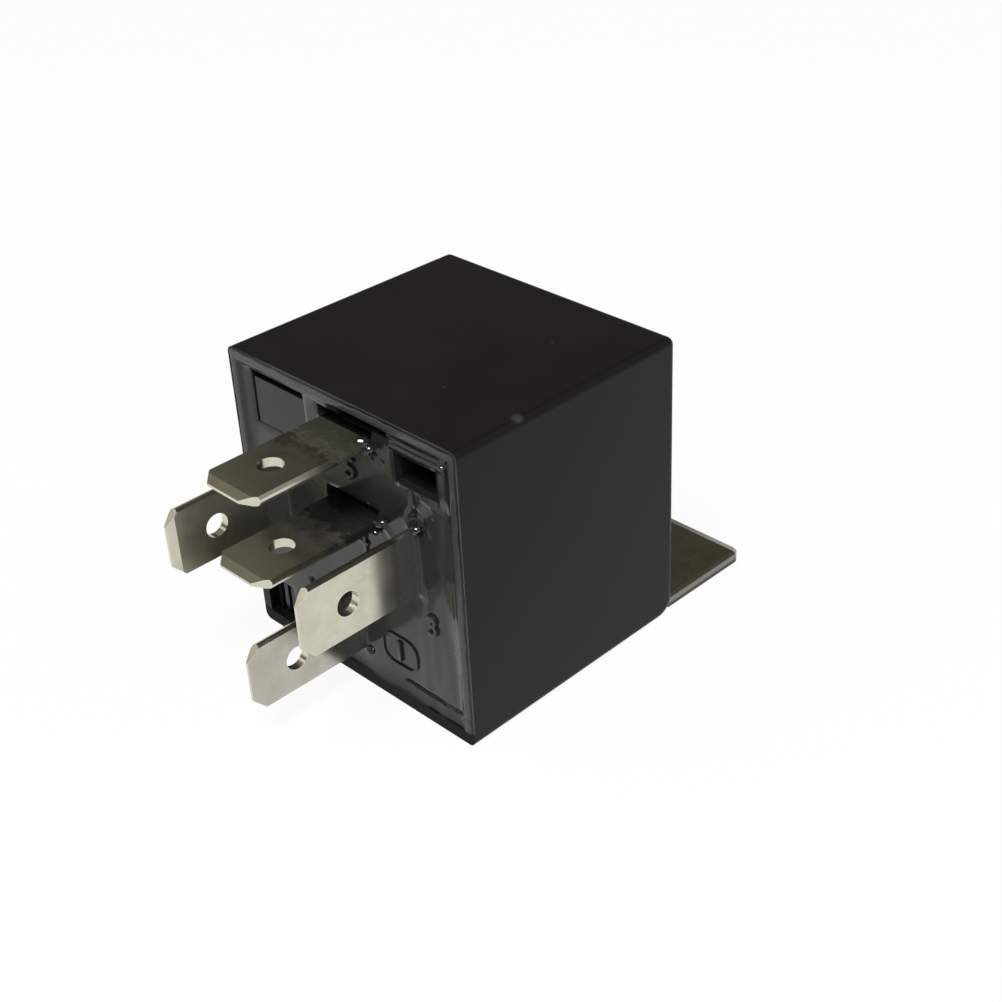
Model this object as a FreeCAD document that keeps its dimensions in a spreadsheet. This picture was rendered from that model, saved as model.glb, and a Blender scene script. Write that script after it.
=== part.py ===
import FreeCAD, Part

# Five-terminal changeover relay in a moulded cube, lying on the side that its steel bracket is flush with.
# Millimetres. +Z is up, the blades point to -Y, the bracket to +Y, and Z = 0 is the side it lies on.
# Each piece is drawn with the cover's rim at Y = 0 and then moved so that the whole relay is centred.

import math
import os

import Sketcher
from FreeCAD import Placement, Rotation, Vector

DIMENSIONS = [
    ("cover_wide", 28.0, "cover, across the terminal face"),
    ("cover_tall", 28.4, "cover, height as it lies"),
    ("cover_deep", 25.7, "cover, rim to closed end"),
    ("cover_draft", 0.25, "inset of the top and both sides at the closed end"),
    ("side_wall", 1.0, "cover wall at the top and both sides"),
    ("floor_wall", 1.2, "cover wall that it lies on"),
    ("back_wall", 1.2, "cover wall at the closed end"),
    ("edge_round", 0.7, "radius of the long edges and the rest of the closed end"),
    ("heel_round", 1.9, "radius of the lower edge of the closed end"),
    ("resin_drop", 0.35, "resin surface below the rim"),
    ("resin_deep", 0.9, "resin depth over the base"),
    ("resin_gap", 0.02, "resin to cover"),
    ("base_thick", 2.2, "base plate"),
    ("base_gap", 0.1, "base to cover wall"),
    ("skirt_tall", 1.4, "skirt inside the base"),
    ("skirt_thick", 0.9, "skirt wall"),
    ("slot_gap", 0.05, "blade to its slot in the base"),
    ("pocket_side", 1.9, "deep pocket, from the cover's inner side"),
    ("pocket_wide", 4.9, "deep pocket, width"),
    ("pocket_drop", 1.9, "deep pocket, from the cover's inner top"),
    ("pocket_tall", 2.75, "deep pocket, height"),
    ("pocket_deep", 3.4, "deep pocket, depth from the base face"),
    ("pocket_wall", 0.6, "wall of the tub behind the pocket"),
    ("slot_left", 0.3, "open slot over a level blade, beyond its left edge"),
    ("slot_tall", 1.0, "open slot over a level blade, height"),
    ("slot_deep", 2.0, "open slot over a level blade, depth from the base face"),
    ("notch_left", 0.7, "notch at the cover's top, left of the upper blade's middle"),
    ("notch_wide", 5.7, "notch at the cover's top, width"),
    ("notch_tall", 1.0, "notch at the cover's top, height"),
    ("notch_deep", 0.6, "notch at the cover's top, depth from the base face"),
    ("plate_wide", 6.55, "smooth raised plate, width"),
    ("plate_tall", 4.4, "smooth raised plate, height"),
    ("plate_gap", 2.18, "smooth raised plate to the upper blade, sideways"),
    ("plate_drop", 1.3, "smooth raised plate, from the cover's inner top"),
    ("plate_groove", 0.75, "open groove over the raised plate"),
    ("plate_proud", 0.75, "smooth raised plate, above the base face"),
    ("groove", 0.25, "open groove beside the raised plate and corner ribs"),
    ("resin_climb", 0.35, "resin drawn up round each blade, height"),
    ("resin_flare", 0.45, "resin drawn up round each blade, width at its foot"),
    ("resin_lip", 0.08, "resin drawn up round each blade, width at its top"),
    ("rib_inset", 0.3, "corner ribs from the base's edges"),
    ("rib_wide", 0.5, "corner rib, thickness"),
    ("rib_pitch", 1.0, "corner rib, spacing"),
    ("rib_tall", 3.0, "corner rib, height"),
    ("rib_proud", 0.5, "corner rib, above the base face"),
    ("blade_wide", 6.3, "blade, width"),
    ("blade_thick", 0.8, "blade, thickness"),
    ("blade_reach", 11.95, "blade, beyond the rim"),
    ("blade_clip", 1.2, "blade, corner cut"),
    ("bevel_long", 0.78, "coined bevel at the tip, length"),
    ("bevel_deep", 0.28, "coined bevel, depth"),
    ("bevel_side", 0.12, "coined bevel along the sides"),
    ("blade_hole", 2.2, "hole through the blade, diameter"),
    ("hole_back", 4.7, "hole centre behind the tip"),
    ("shoulder_wide", 7.5, "shoulder behind the base, width"),
    ("shoulder_tall", 1.0, "shoulder behind the base, height"),
    ("contact_pin_x", 0.6, "upper and middle blade, sideways"),
    ("upper_drop", 2.2, "upper blade (normally open contact), below the cover's inner top"),
    ("arm_clear", 0.5, "middle blade (normally closed contact) over the bobbin"),
    ("common_pin_x", 0.2, "lower blade (common), sideways"),
    ("common_pin_z", 6.75, "lower blade (common), height"),
    ("left_pin_x", -8.8, "left coil blade, sideways"),
    ("right_pin_x", 8.1, "right coil blade, sideways"),
    ("coil_pin_z", 16.1, "both coil blades, height"),
    ("post_wide", 1.6, "wire post of a coil blade, width"),
    ("post_tall", 4.6, "wire post of a coil blade, height behind the base"),
    ("tab_wide", 26.2, "bracket, width"),
    ("tab_thick", 1.2, "bracket, thickness"),
    ("tab_reach", 10.6, "bracket, beyond the closed end"),
    ("tab_corner", 0.8, "bracket, radius of the free corners"),
    ("tab_edge", 0.25, "bracket, broken edge on the upper face"),
    ("tab_hole", 5.5, "bracket, screw hole diameter"),
    ("tab_hole_back", 5.2, "bracket, screw hole from the free end"),
    ("tongue_wide", 16.0, "bracket tongue in the cover, width"),
    ("tongue_long", 4.0, "bracket tongue in the cover, length"),
    ("tongue_gap", 0.05, "bracket tongue to its rebate"),
    ("seat_wall", 1.2, "cover, thickness over the tongue"),
    ("stake_pitch", 9.0, "moulded stakes, spacing"),
    ("stake_wide", 2.0, "moulded stake, diameter"),
    ("stake_head", 3.2, "moulded stake, diameter of its countersunk end"),
    ("yoke_lift", 1.2, "upright of the yoke above the cover's inside"),
    ("yoke_thick", 1.5, "yoke sheet"),
    ("yoke_wide", 10.0, "yoke, width"),
    ("yoke_bend", 1.2, "yoke, outer bend radius"),
    ("coil_gap", 0.2, "bobbin flange to yoke upright"),
    ("yoke_short", 0.5, "free end of the yoke's foot inside the flange's edge"),
    ("rest_wide", 8.0, "rest under the yoke, width"),
    ("rest_tall", 3.4, "rest under the yoke, height"),
    ("back_clear", 1.06, "riveted end of the closed contact to the cover's closed end"),
    ("flange_wide", 12.6, "bobbin flange, square"),
    ("flange_thick", 1.0, "bobbin flange, thickness"),
    ("flange_round", 1.0, "bobbin flange, corner radius"),
    ("barrel_wide", 7.4, "bobbin barrel, diameter"),
    ("winding_inset", 0.2, "copper winding inside the flange's edge"),
    ("core_wide", 6.0, "core, diameter"),
    ("core_gap", 0.1, "core to bobbin"),
    ("spigot_wide", 4.5, "core, spigot riveted in the yoke"),
    ("pole_wide", 9.0, "pole face, diameter"),
    ("pole_thick", 1.2, "pole face, thickness"),
    ("armature_wide", 9.0, "armature, width"),
    ("armature_long", 13.1, "armature, length"),
    ("armature_thick", 1.2, "armature, thickness"),
    ("armature_nose", 2.0, "armature, corner cut at the free end"),
    ("heel_gap", 0.1, "armature heel to the hinge line"),
    ("seat_gap", 0.02, "armature to pole face when pulled in"),
    ("open_angle", 3.2, "armature swing, degrees"),
    ("leaf_thick", 0.3, "contact spring sheet"),
    ("leaf_wide", 6.0, "contact spring, width"),
    ("leaf_tip", 4.4, "contact spring, width at the contact"),
    ("leaf_lap", 2.0, "contact spring beyond its contact"),
    ("leaf_tail", 9.6, "contact spring, down the yoke"),
    ("leaf_window", 2.6, "contact spring, width of the slot at its bend"),
    ("window_reach", 1.6, "contact spring, the slot each way from the bend"),
    ("contact_drop", 3.9, "open contact below the upper blade"),
    ("button_wide", 3.4, "contact button, diameter"),
    ("button_tall", 0.6, "contact button, height"),
    ("button_crown", 0.24, "contact button, height of its raised face"),
    ("shank_wide", 1.8, "contact shank, diameter"),
    ("shank_gap", 0.1, "moving shank in the spring, on the diameter"),
    ("tail_wide", 2.6, "contact, riveted end diameter"),
    ("tail_tall", 0.3, "contact, riveted end height"),
    ("contact_gap", 0.02, "between contacts that touch"),
    ("arm_wide", 5.0, "arm of the open contact, width"),
    ("neck_wide", 2.5, "neck of the closed contact's arm, width"),
    ("neck_clear", 0.7, "neck to contact spring"),
    ("arm_lap", 1.9, "contact arm beyond its contact"),
    ("arm_bend", 0.7, "contact arm, outer bend radius"),
    ("rivet_wide", 1.2, "spring rivet shank, diameter"),
    ("rivet_head", 2.2, "spring rivet head, diameter"),
    ("rivet_tall", 0.4, "spring rivet head, height"),
    ("rivet_first", 4.1, "first armature rivet from the hinge line"),
    ("rivet_pitch", 6.5, "armature rivets, spacing"),
    ("yoke_rivet_drop", 4.2, "upper yoke rivet below the hinge line"),
    ("yoke_rivet_pitch", 3.4, "yoke rivets, spacing"),
    ("lead_wide", 0.35, "coil lead, diameter"),
    ("lead_bend", 0.8, "coil lead, bend radius"),
    ("lead_rise", 0.7, "coil lead, above the bobbin's lower flange"),
    ("wire_gap", 0.05, "coil lead to winding, and braid to spring"),
    ("braid_wide", 1.2, "copper braid, diameter"),
    ("braid_bend", 1.0, "copper braid, bend radius"),
    ("braid_z", 9.8, "copper braid, height"),
    ("braid_gap", 0.3, "copper braid to bobbin"),
    ("braid_start", 1.0, "copper braid's end on the spring, from its middle"),
]

PLACES = [
    ("rim_y", "-(cover_deep + tab_reach - blade_reach) / 2", "rim of the cover"),
    ("base_y", "resin_drop + resin_deep", "outer face of the base"),
    ("base_in", "base_y + base_thick", "inner face of the base"),
    ("frame_y", "base_in + blade_thick", "lower face of the yoke"),
    ("bobbin_y", "frame_y + yoke_thick", "foot of the bobbin"),
    ("leaf_low", "seat_gap + armature_thick", "underside of the spring above the hinge line"),
    ("leaf_high", "leaf_low + leaf_thick", "upper side of the spring above the hinge line"),
    ("hinge_z", "floor_wall + yoke_lift", "hinge line, outer face of the yoke upright"),
    ("upper_pin_z", "cover_tall - side_wall - upper_drop", "upper blade"),
    ("contact_arm", "upper_pin_z - contact_drop - hinge_z", "hinge line to the contacts"),
    ("leaf_reach", "contact_arm + leaf_lap", "tip of the spring from the hinge line"),
    ("button_top", "leaf_high + button_tall", "moving contact above the hinge line"),
    ("closed_arm_y", "cover_deep - back_wall - back_clear - tail_tall - blade_thick", "seat of the closed contact"),
    (
        "hinge_y",
        "closed_arm_y - button_tall - contact_gap - contact_arm * sin(open_angle) - button_top * cos(open_angle)",
        "hinge line and pole face",
    ),
    ("pole_y", "hinge_y - pole_thick", "underside of the pole face"),
    ("bobbin_long", "pole_y - bobbin_y", "bobbin, end to end"),
    ("winding_r", "flange_wide / 2 - winding_inset", "radius of the copper winding"),
    ("coil_x", "(left_pin_x + right_pin_x) / 2", "coil axis"),
    ("coil_z", "hinge_z + yoke_thick + coil_gap + flange_wide / 2", "coil axis"),
    ("yoke_end", "coil_z + flange_wide / 2 - yoke_short", "free end of the yoke's foot"),
    ("middle_pin_z", "coil_z + flange_wide / 2 + arm_clear + blade_thick / 2", "middle blade"),
    ("open_arm_y", "hinge_y + leaf_low - button_tall - contact_gap - button_tall", "seat of the open contact"),
    ("open_z", "hinge_z + contact_arm", "open contact"),
    ("closed_z", "hinge_z + contact_arm * cos(open_angle) - button_top * sin(open_angle)", "closed contact"),
    ("neck_x", "coil_x + leaf_wide / 2 + neck_clear", "near side of the closed contact's neck"),
    ("neck_end", "neck_x + neck_wide", "far side of the closed contact's neck"),
    ("base_left", "-cover_wide / 2 + side_wall + base_gap", "side of the base"),
    ("base_low", "floor_wall + base_gap", "lower side of the base"),
    ("base_high", "cover_tall - side_wall - base_gap", "upper side of the base"),
    ("pocket_left", "cover_wide / 2 - side_wall - pocket_side - pocket_wide", "left side of the deep pocket"),
    ("pocket_low", "cover_tall - side_wall - pocket_drop - pocket_tall", "lower side of the deep pocket"),
    ("plate_x", "contact_pin_x - blade_wide / 2 - plate_gap - plate_wide", "left side of the raised plate"),
    ("plate_z", "cover_tall - side_wall - plate_drop - plate_tall", "lower side of the raised plate"),
    ("notch_z", "cover_tall - side_wall - notch_tall", "lower side of the notch at the cover's top"),
    ("rib_x", "base_left + rib_inset", "left side of the first corner rib"),
    ("rib_z", "base_low + rib_inset", "lower end of the corner ribs"),
]

ORIGIN_PLANES = {"front": "XZ_Plane", "side": "YZ_Plane", "level": "XY_Plane"}

doc = FreeCAD.newDocument("Relay")


def fill_sheet(name, rows):
    """Put one named value on each row of a new sheet."""
    sheet = doc.addObject("Spreadsheet::Sheet", name)
    for row, (alias, content, note) in enumerate(rows, start=1):
        sheet.set("A%d" % row, note)
        sheet.set("B%d" % row, content)
        sheet.setAlias("B%d" % row, alias)
    return sheet


KNOWN = {alias: "Dims." + alias for alias, _, _ in DIMENSIONS}
KNOWN.update({alias: "Places." + alias for alias, _, _ in PLACES})


def sized(text):
    """Point each plain size name in an expression at its cell."""
    words = []
    word = ""
    for letter in text + " ":
        if letter.isalnum() or letter == "_":
            word += letter
            continue
        words.append(KNOWN.get(word, word) + letter)
        word = ""
    return "".join(words).strip()


dims = fill_sheet("Dims", [(alias, str(size), note) for alias, size, note in DIMENSIONS])
doc.recompute()
places = fill_sheet("Places", [(alias, "=" + sized(rule), note) for alias, rule, note in PLACES])
doc.recompute()


def size_of(alias):
    """The number that a named cell holds now."""
    return float(getattr(dims if KNOWN[alias].startswith("Dims.") else places, alias))


# Sketches and the features that use them


def new_body(label, x="0", y="rim_y", z="0", turn=None):
    """A body of its own, placed by expressions and, on the armature, turned about the hinge line."""
    body = doc.addObject("PartDesign::Body", label)
    body.Label = label
    if turn:
        body.Placement = Placement(Vector(), Rotation(Vector(1, 0, 0), 1))
        body.setExpression("Placement.Rotation.Angle", sized(turn))
    body.setExpression("Placement.Base.x", sized(x))
    body.setExpression("Placement.Base.y", sized(y))
    body.setExpression("Placement.Base.z", sized(z))
    return body


def hinge_body(label):
    """A body that is drawn about the hinge line and swung open with the armature."""
    return new_body(label, "coil_x", "rim_y + hinge_y", "hinge_z", "-open_angle")


def new_sketch(body, plane, level):
    """A sketch on one of the body's own planes, moved along the positive axis to a level."""
    sketch = body.newObject("Sketcher::SketchObject", body.Label + "_sketch")
    role = ORIGIN_PLANES[plane]
    support = [feature for feature in body.Origin.OriginFeatures if feature.Role == role][0]
    sketch.AttachmentSupport = [(support, "")]
    sketch.MapMode = "FlatFace"
    sign = "-" if plane == "front" else ""
    sketch.setExpression("AttachmentOffset.Base.z", "%s(%s)" % (sign, sized(level)))
    return sketch


def pin_point(sketch, line, end, u, v):
    """Hold one end of a line, or a circle's centre, at a place given by two expressions."""
    for kind, text in (("DistanceX", u), ("DistanceY", v)):
        index = sketch.addConstraint(Sketcher.Constraint(kind, -1, 1, line, end, 1.0))
        name = "%s_%d" % (kind[-1].lower(), index)
        sketch.renameConstraint(index, name)
        sketch.setExpression("Constraints." + name, sized(text))


def draw_outline(sketch, points):
    """A closed outline through points that are given by pairs of expressions."""
    first = sketch.GeometryCount
    count = len(points)
    start = [Vector(math.cos(math.tau * i / count), math.sin(math.tau * i / count), 0) for i in range(count)]
    for i in range(count):
        sketch.addGeometry(Part.LineSegment(start[i], start[(i + 1) % count]))
    for i in range(count):
        following = first + (i + 1) % count
        sketch.addConstraint(Sketcher.Constraint("Coincident", first + i, 2, following, 1))
    for i in range(count):
        pin_point(sketch, first + i, 1, *points[i])


def draw_disc(sketch, u, v, radius):
    """A circle given by its centre and radius."""
    ring = sketch.addGeometry(Part.Circle(Vector(1, 1, 0), Vector(0, 0, 1), 1))
    pin_point(sketch, ring, 3, u, v)
    index = sketch.addConstraint(Sketcher.Constraint("Radius", ring, 1.0))
    sketch.renameConstraint(index, "radius_%d" % index)
    sketch.setExpression("Constraints.radius_%d" % index, sized(radius))


def box(u_low, u_high, v_low, v_high):
    """The four corners of a rectangle, as expressions."""
    return [(u_low, v_low), (u_high, v_low), (u_high, v_high), (u_low, v_high)]


def extrude(body, plane, level, length, shapes, cut=False, taper=None):
    """Pad, or pocket, flat shapes from a level along the positive axis."""
    sketch = new_sketch(body, plane, level)
    for shape in shapes:
        if isinstance(shape, list):
            draw_outline(sketch, shape)
        else:
            draw_disc(sketch, *shape)
    doc.recompute()
    kind = "Pocket" if cut else "Pad"
    feature = body.newObject("PartDesign::" + kind, body.Label + "_" + kind.lower())
    feature.Profile = sketch
    feature.setExpression("Length", sized(length))
    feature.Reversed = (plane == "front") != cut
    if taper is not None:
        feature.TaperAngle = taper
    doc.recompute()
    return feature


def revolve(body, level, points, plane="level"):
    """Turn a half outline, given as radius and height, about the sketch's V axis."""
    sketch = new_sketch(body, plane, level)
    draw_outline(sketch, points)
    doc.recompute()
    feature = body.newObject("PartDesign::Revolution", body.Label + "_turned")
    feature.Profile = sketch
    feature.ReferenceAxis = (sketch, ["V_Axis"])
    feature.Angle = 360
    doc.recompute()
    return feature


def loft(body, plane, sections, cut=False):
    """A ruled loft through outlines at their levels."""
    sketches = []
    for level, points in sections:
        sketch = new_sketch(body, plane, level)
        draw_outline(sketch, points)
        sketches.append(sketch)
    doc.recompute()
    kind = "SubtractiveLoft" if cut else "AdditiveLoft"
    feature = body.newObject("PartDesign::" + kind, body.Label + "_loft")
    feature.Profile = sketches[0]
    feature.Sections = sketches[1:]
    feature.Ruled = True
    doc.recompute()
    return feature


def round_edges(body, radius, chosen, flat=False):
    """Round, or with flat bevel, the edges of the body's tip that a test picks."""
    tip = body.Tip
    names = ["Edge%d" % (i + 1) for i, edge in enumerate(tip.Shape.Edges) if chosen(edge)]
    kind = "Chamfer" if flat else "Fillet"
    feature = body.newObject("PartDesign::" + kind, "%s_%s" % (body.Label, kind.lower()))
    feature.Base = (tip, names)
    feature.setExpression("Size" if flat else "Radius", sized(radius))
    doc.recompute()
    return feature


def along(edge, axis):
    """True for a straight edge that runs nearly along an axis."""
    if len(edge.Vertexes) != 2:
        return False
    run = edge.Vertexes[1].Point - edge.Vertexes[0].Point
    straight = abs(run.Length - edge.Length) < 0.001
    return straight and abs(run.normalize().dot(axis)) > 0.99


X_AXIS = Vector(1, 0, 0)
Y_AXIS = Vector(0, 1, 0)
Z_AXIS = Vector(0, 0, 1)


# Cover


def make_cover():
    """Open moulded box with drafted sides, a seat for the bracket and the two stakes that hold it."""
    body = new_body("cover")
    half = "cover_wide / 2"
    profile = [("0", "0"), ("cover_deep", "0"), ("cover_deep", "cover_tall - cover_draft"), ("0", "cover_tall")]
    extrude(body, "side", "-" + half, "cover_wide", [profile])
    wedges = []
    for side in ("", "-"):
        edge, beyond = "%scover_wide / 2" % side, "%s(cover_wide / 2 + 1)" % side
        end = "%s(cover_wide / 2 - cover_draft)" % side
        wedges.append([(edge, "0"), (beyond, "0"), (beyond, "cover_deep"), (end, "cover_deep")])
    extrude(body, "level", "0", "cover_tall", wedges, cut=True)
    deep = size_of("cover_deep") - 0.001
    round_edges(body, "heel_round", lambda edge: edge.BoundBox.YMin > deep and edge.BoundBox.ZMax < 0.001)
    high = size_of("cover_tall") - size_of("cover_draft") - 0.001
    round_edges(
        body,
        "edge_round",
        lambda edge: along(edge, Y_AXIS) or (edge.BoundBox.YMin > deep and edge.BoundBox.ZMax > high),
    )
    inset = "side_wall + cover_draft * (cover_deep - back_wall) / cover_deep"
    loft(
        body,
        "front",
        [
            ("0", box("side_wall - " + half, half + " - side_wall", "floor_wall", "cover_tall - side_wall")),
            (
                "cover_deep - back_wall",
                box(inset + " - " + half, half + " - (" + inset + ")", "floor_wall", "cover_tall - (" + inset + ")"),
            ),
        ],
        cut=True,
    )
    seat = "tongue_wide / 2 + seat_wall"
    extrude(
        body,
        "level",
        "floor_wall",
        "tab_thick + seat_wall - floor_wall",
        [box("-(" + seat + ")", seat, "cover_deep - tongue_long - seat_wall", "cover_deep - back_wall")],
    )
    rebate = "tongue_wide / 2 + tongue_gap"
    extrude(
        body,
        "level",
        "0",
        "tab_thick",
        [box("-(" + rebate + ")", rebate, "cover_deep - tongue_long - tongue_gap", "cover_deep")],
        cut=True,
    )
    for side in ("-", ""):
        place = (side + "stake_pitch / 2", "cover_deep - tongue_long / 2")
        extrude(body, "level", "0", "tab_thick", [place + ("stake_wide / 2",)])
        extrude(body, "level", "0", "(stake_head - stake_wide) / 2", [place + ("stake_head / 2",)], taper=-45)
    return body


def make_bracket():
    """Flat steel mounting tab: a narrow tongue in the cover's rebate and a wide plate with a screw hole."""
    body = new_body("bracket")
    narrow, broad = "tongue_wide / 2", "tab_wide / 2"
    near, far = "cover_deep + tongue_gap", "cover_deep + tab_reach"
    start = "cover_deep - tongue_long"
    extrude(
        body,
        "level",
        "0",
        "tab_thick",
        [
            [
                ("-" + narrow, start),
                (narrow, start),
                (narrow, near),
                (broad, near),
                (broad, far),
                ("-" + broad, far),
                ("-" + broad, near),
                ("-" + narrow, near),
            ]
        ],
    )
    reach = size_of("cover_deep") + size_of("tab_reach")
    round_edges(body, "tab_corner", lambda edge: along(edge, Z_AXIS) and edge.BoundBox.YMin > reach - 0.001)
    rim = size_of("cover_deep") + size_of("tongue_gap") + 0.001
    top = size_of("tab_thick") - 0.001
    round_edges(body, "tab_edge", lambda edge: edge.BoundBox.ZMin > top and edge.BoundBox.YMax > rim, flat=True)
    extrude(body, "level", "0", "tab_thick", [("0", far + " - tab_hole_back", "tab_hole / 2")], cut=True)
    for side in ("-", ""):
        place = (side + "stake_pitch / 2", "cover_deep - tongue_long / 2")
        extrude(body, "level", "0", "tab_thick", [place + ("stake_wide / 2",)], cut=True)
        extrude(
            body, "level", "0", "(stake_head - stake_wide) / 2", [place + ("stake_head / 2",)], cut=True, taper=-45
        )
    return body


# Base and resin

LEVEL_BLADES = [("contact_pin_x", "upper_pin_z"), ("contact_pin_x", "middle_pin_z")]
UPRIGHT_BLADES = [("common_pin_x", "common_pin_z"), ("left_pin_x", "coil_pin_z"), ("right_pin_x", "coil_pin_z")]


def blade_openings(gap):
    """The five blade sections, each with the same gap all round."""
    wide = "(blade_wide / 2 + %s)" % gap
    thin = "(blade_thick / 2 + %s)" % gap
    flat = [box(x + " - " + wide, x + " + " + wide, z + " - " + thin, z + " + " + thin) for x, z in LEVEL_BLADES]
    tall = [box(x + " - " + thin, x + " + " + thin, z + " - " + wide, z + " + " + wide) for x, z in UPRIGHT_BLADES]
    return flat + tall


def blade_slots():
    """Open slots along the upper faces of the two level blades."""
    slots = []
    for x, z in LEVEL_BLADES:
        left = x + " - blade_wide / 2 - slot_left"
        slots.append(box(left, x + " + blade_wide / 2", z + " + blade_thick / 2", z + " + blade_thick / 2 + slot_tall"))
    return slots


def top_notch():
    """Open notch between the base and the cover's top wall, beside the upper blade's slot."""
    left = "contact_pin_x - notch_left"
    return box(left, left + " + notch_wide", "notch_z", "cover_tall - side_wall")


def pocket_box(grow="0"):
    """The deep pocket's outline, grown for its wall."""
    return box(
        "pocket_left - " + grow,
        "pocket_left + pocket_wide + " + grow,
        "pocket_low - " + grow,
        "pocket_low + pocket_tall + " + grow,
    )


def make_base():
    """Moulded terminal plate with blade slots, tub, skirt, raised plate and corner ribs."""
    body = new_body("base")
    extrude(body, "front", "base_y", "base_thick", [box("base_left", "-base_left", "base_low", "base_high")])
    extrude(
        body,
        "front",
        "base_in",
        "skirt_tall",
        [
            box("base_left", "-base_left", "base_low", "base_high"),
            box(
                "base_left + skirt_thick",
                "-base_left - skirt_thick",
                "base_low + skirt_thick",
                "base_high - skirt_thick",
            ),
        ],
    )
    extrude(body, "front", "base_in", "pocket_deep + pocket_wall - base_thick", [pocket_box("pocket_wall")])
    extrude(
        body,
        "front",
        "base_in",
        "blade_thick",
        [box("coil_x - rest_wide / 2", "coil_x + rest_wide / 2", "yoke_end - rest_tall", "yoke_end")],
    )
    extrude(
        body,
        "front",
        "base_y - plate_proud",
        "plate_proud",
        [box("plate_x", "plate_x + plate_wide", "plate_z", "plate_z + plate_tall")],
    )
    for index in range(3):
        left = "rib_x + rib_pitch * %d" % index
        ribs = box(left, left + " + rib_wide", "rib_z", "rib_z + rib_tall")
        extrude(body, "front", "base_y - rib_proud", "rib_proud", [ribs])
    extrude(body, "front", "base_y - 1", "base_thick + skirt_tall + 2", blade_openings("slot_gap"), cut=True)
    extrude(body, "front", "base_y", "slot_deep", blade_slots(), cut=True)
    extrude(body, "front", "base_y", "notch_deep", [top_notch()], cut=True)
    extrude(body, "front", "base_y", "pocket_deep", [pocket_box()], cut=True)
    return body


def make_potting():
    """Cast resin over the base, drawn up round the blades and open at every hollow of the base."""
    body = new_body("potting")
    edge = "(cover_wide / 2 - side_wall - resin_gap - cover_draft * base_y / cover_deep)"
    left, right = "-" + edge, edge
    low = "floor_wall + resin_gap"
    high = "cover_tall - side_wall - resin_gap - cover_draft * base_y / cover_deep"
    corner_x = "rib_x + rib_pitch * 2 + rib_wide + groove"
    corner_z = "rib_z + rib_tall + groove"
    outline = [
        (corner_x, low),
        (right, low),
        (right, high),
        (left, high),
        (left, corner_z),
        (corner_x, corner_z),
    ]
    extrude(body, "front", "resin_drop", "resin_deep", [outline])
    for foot, lip in zip(blade_openings("resin_flare"), blade_openings("resin_lip")):
        loft(body, "front", [("resin_drop", foot), ("resin_drop - resin_climb", lip)])
    start, through = "resin_drop - resin_climb * 2", "resin_deep + resin_climb * 2"
    extrude(body, "front", start, through, blade_openings("0"), cut=True)
    extrude(body, "front", start, through, blade_slots() + [pocket_box()], cut=True)
    extrude(body, "front", start, through, [top_notch()], cut=True)
    plate = box("plate_x - groove", "plate_x + plate_wide", "plate_z", "plate_z + plate_tall + plate_groove")
    extrude(body, "front", start, through, [plate], cut=True)
    return body


# Terminals


def blade_outline(inset, side):
    """Half-hexagon tip outline in blade coordinates: across the blade, then along Y."""
    wide = "(blade_wide / 2 - %s)" % side
    shoulder = "(blade_clip - %s - blade_reach)" % side
    narrow = "(blade_wide / 2 - blade_clip + %s)" % inset
    tip = "(%s - blade_reach)" % inset
    return [
        ("-" + wide, "base_in"),
        ("-" + wide, shoulder),
        ("-" + narrow, tip),
        (narrow, tip),
        (wide, shoulder),
        (wide, "base_in"),
    ]


def make_blade(body, plane, across, through):
    """Quick-connect blade with a coined tip, corners cut straight through and a hole, up to the base's inner face."""
    sections = []
    for level, inset, side in (
        ("-blade_thick / 2", "bevel_long", "bevel_side"),
        ("bevel_deep - blade_thick / 2", "0", "0"),
        ("blade_thick / 2 - bevel_deep", "0", "0"),
        ("blade_thick / 2", "bevel_long", "bevel_side"),
    ):
        corners = [(across + " + " + u, v) for u, v in blade_outline(inset, side)]
        if plane == "side":
            corners = [(v, u) for u, v in corners]
        sections.append((through + " + " + level, corners))
    loft(body, plane, sections)
    centre = (across, "hole_back - blade_reach")
    if plane == "side":
        centre = centre[::-1]
    extrude(body, plane, through + " - blade_thick", "blade_thick * 2", [centre + ("blade_hole / 2",)], cut=True)
    return body


def coil_terminal(label, pin_x):
    """Upright blade with shoulders and a slim post that a coil lead is soldered to."""
    body = new_body(label)
    make_blade(body, "side", "coil_pin_z", pin_x)
    half, post = "shoulder_wide / 2", "post_wide / 2"
    seat, top = "base_in + shoulder_tall", "base_in + post_tall"
    shape = [
        ("base_in", "coil_pin_z - " + half),
        (seat, "coil_pin_z - " + half),
        (seat, "coil_pin_z - " + post),
        (top, "coil_pin_z - " + post),
        (top, "coil_pin_z + " + post),
        (seat, "coil_pin_z + " + post),
        (seat, "coil_pin_z + " + half),
        ("base_in", "coil_pin_z + " + half),
    ]
    extrude(body, "side", pin_x + " - blade_thick / 2", "blade_thick", [shape])
    return body


def round_arm(body, outer_y, outer_z):
    """Round the outside of a contact arm's bend."""
    seat_y, seat_z = size_of(outer_y), outer_z
    round_edges(
        body,
        "arm_bend",
        lambda edge: along(edge, X_AXIS)
        and abs(edge.CenterOfMass.y - seat_y) < 0.001
        and abs(edge.CenterOfMass.z - seat_z) < 0.001,
    )


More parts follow.
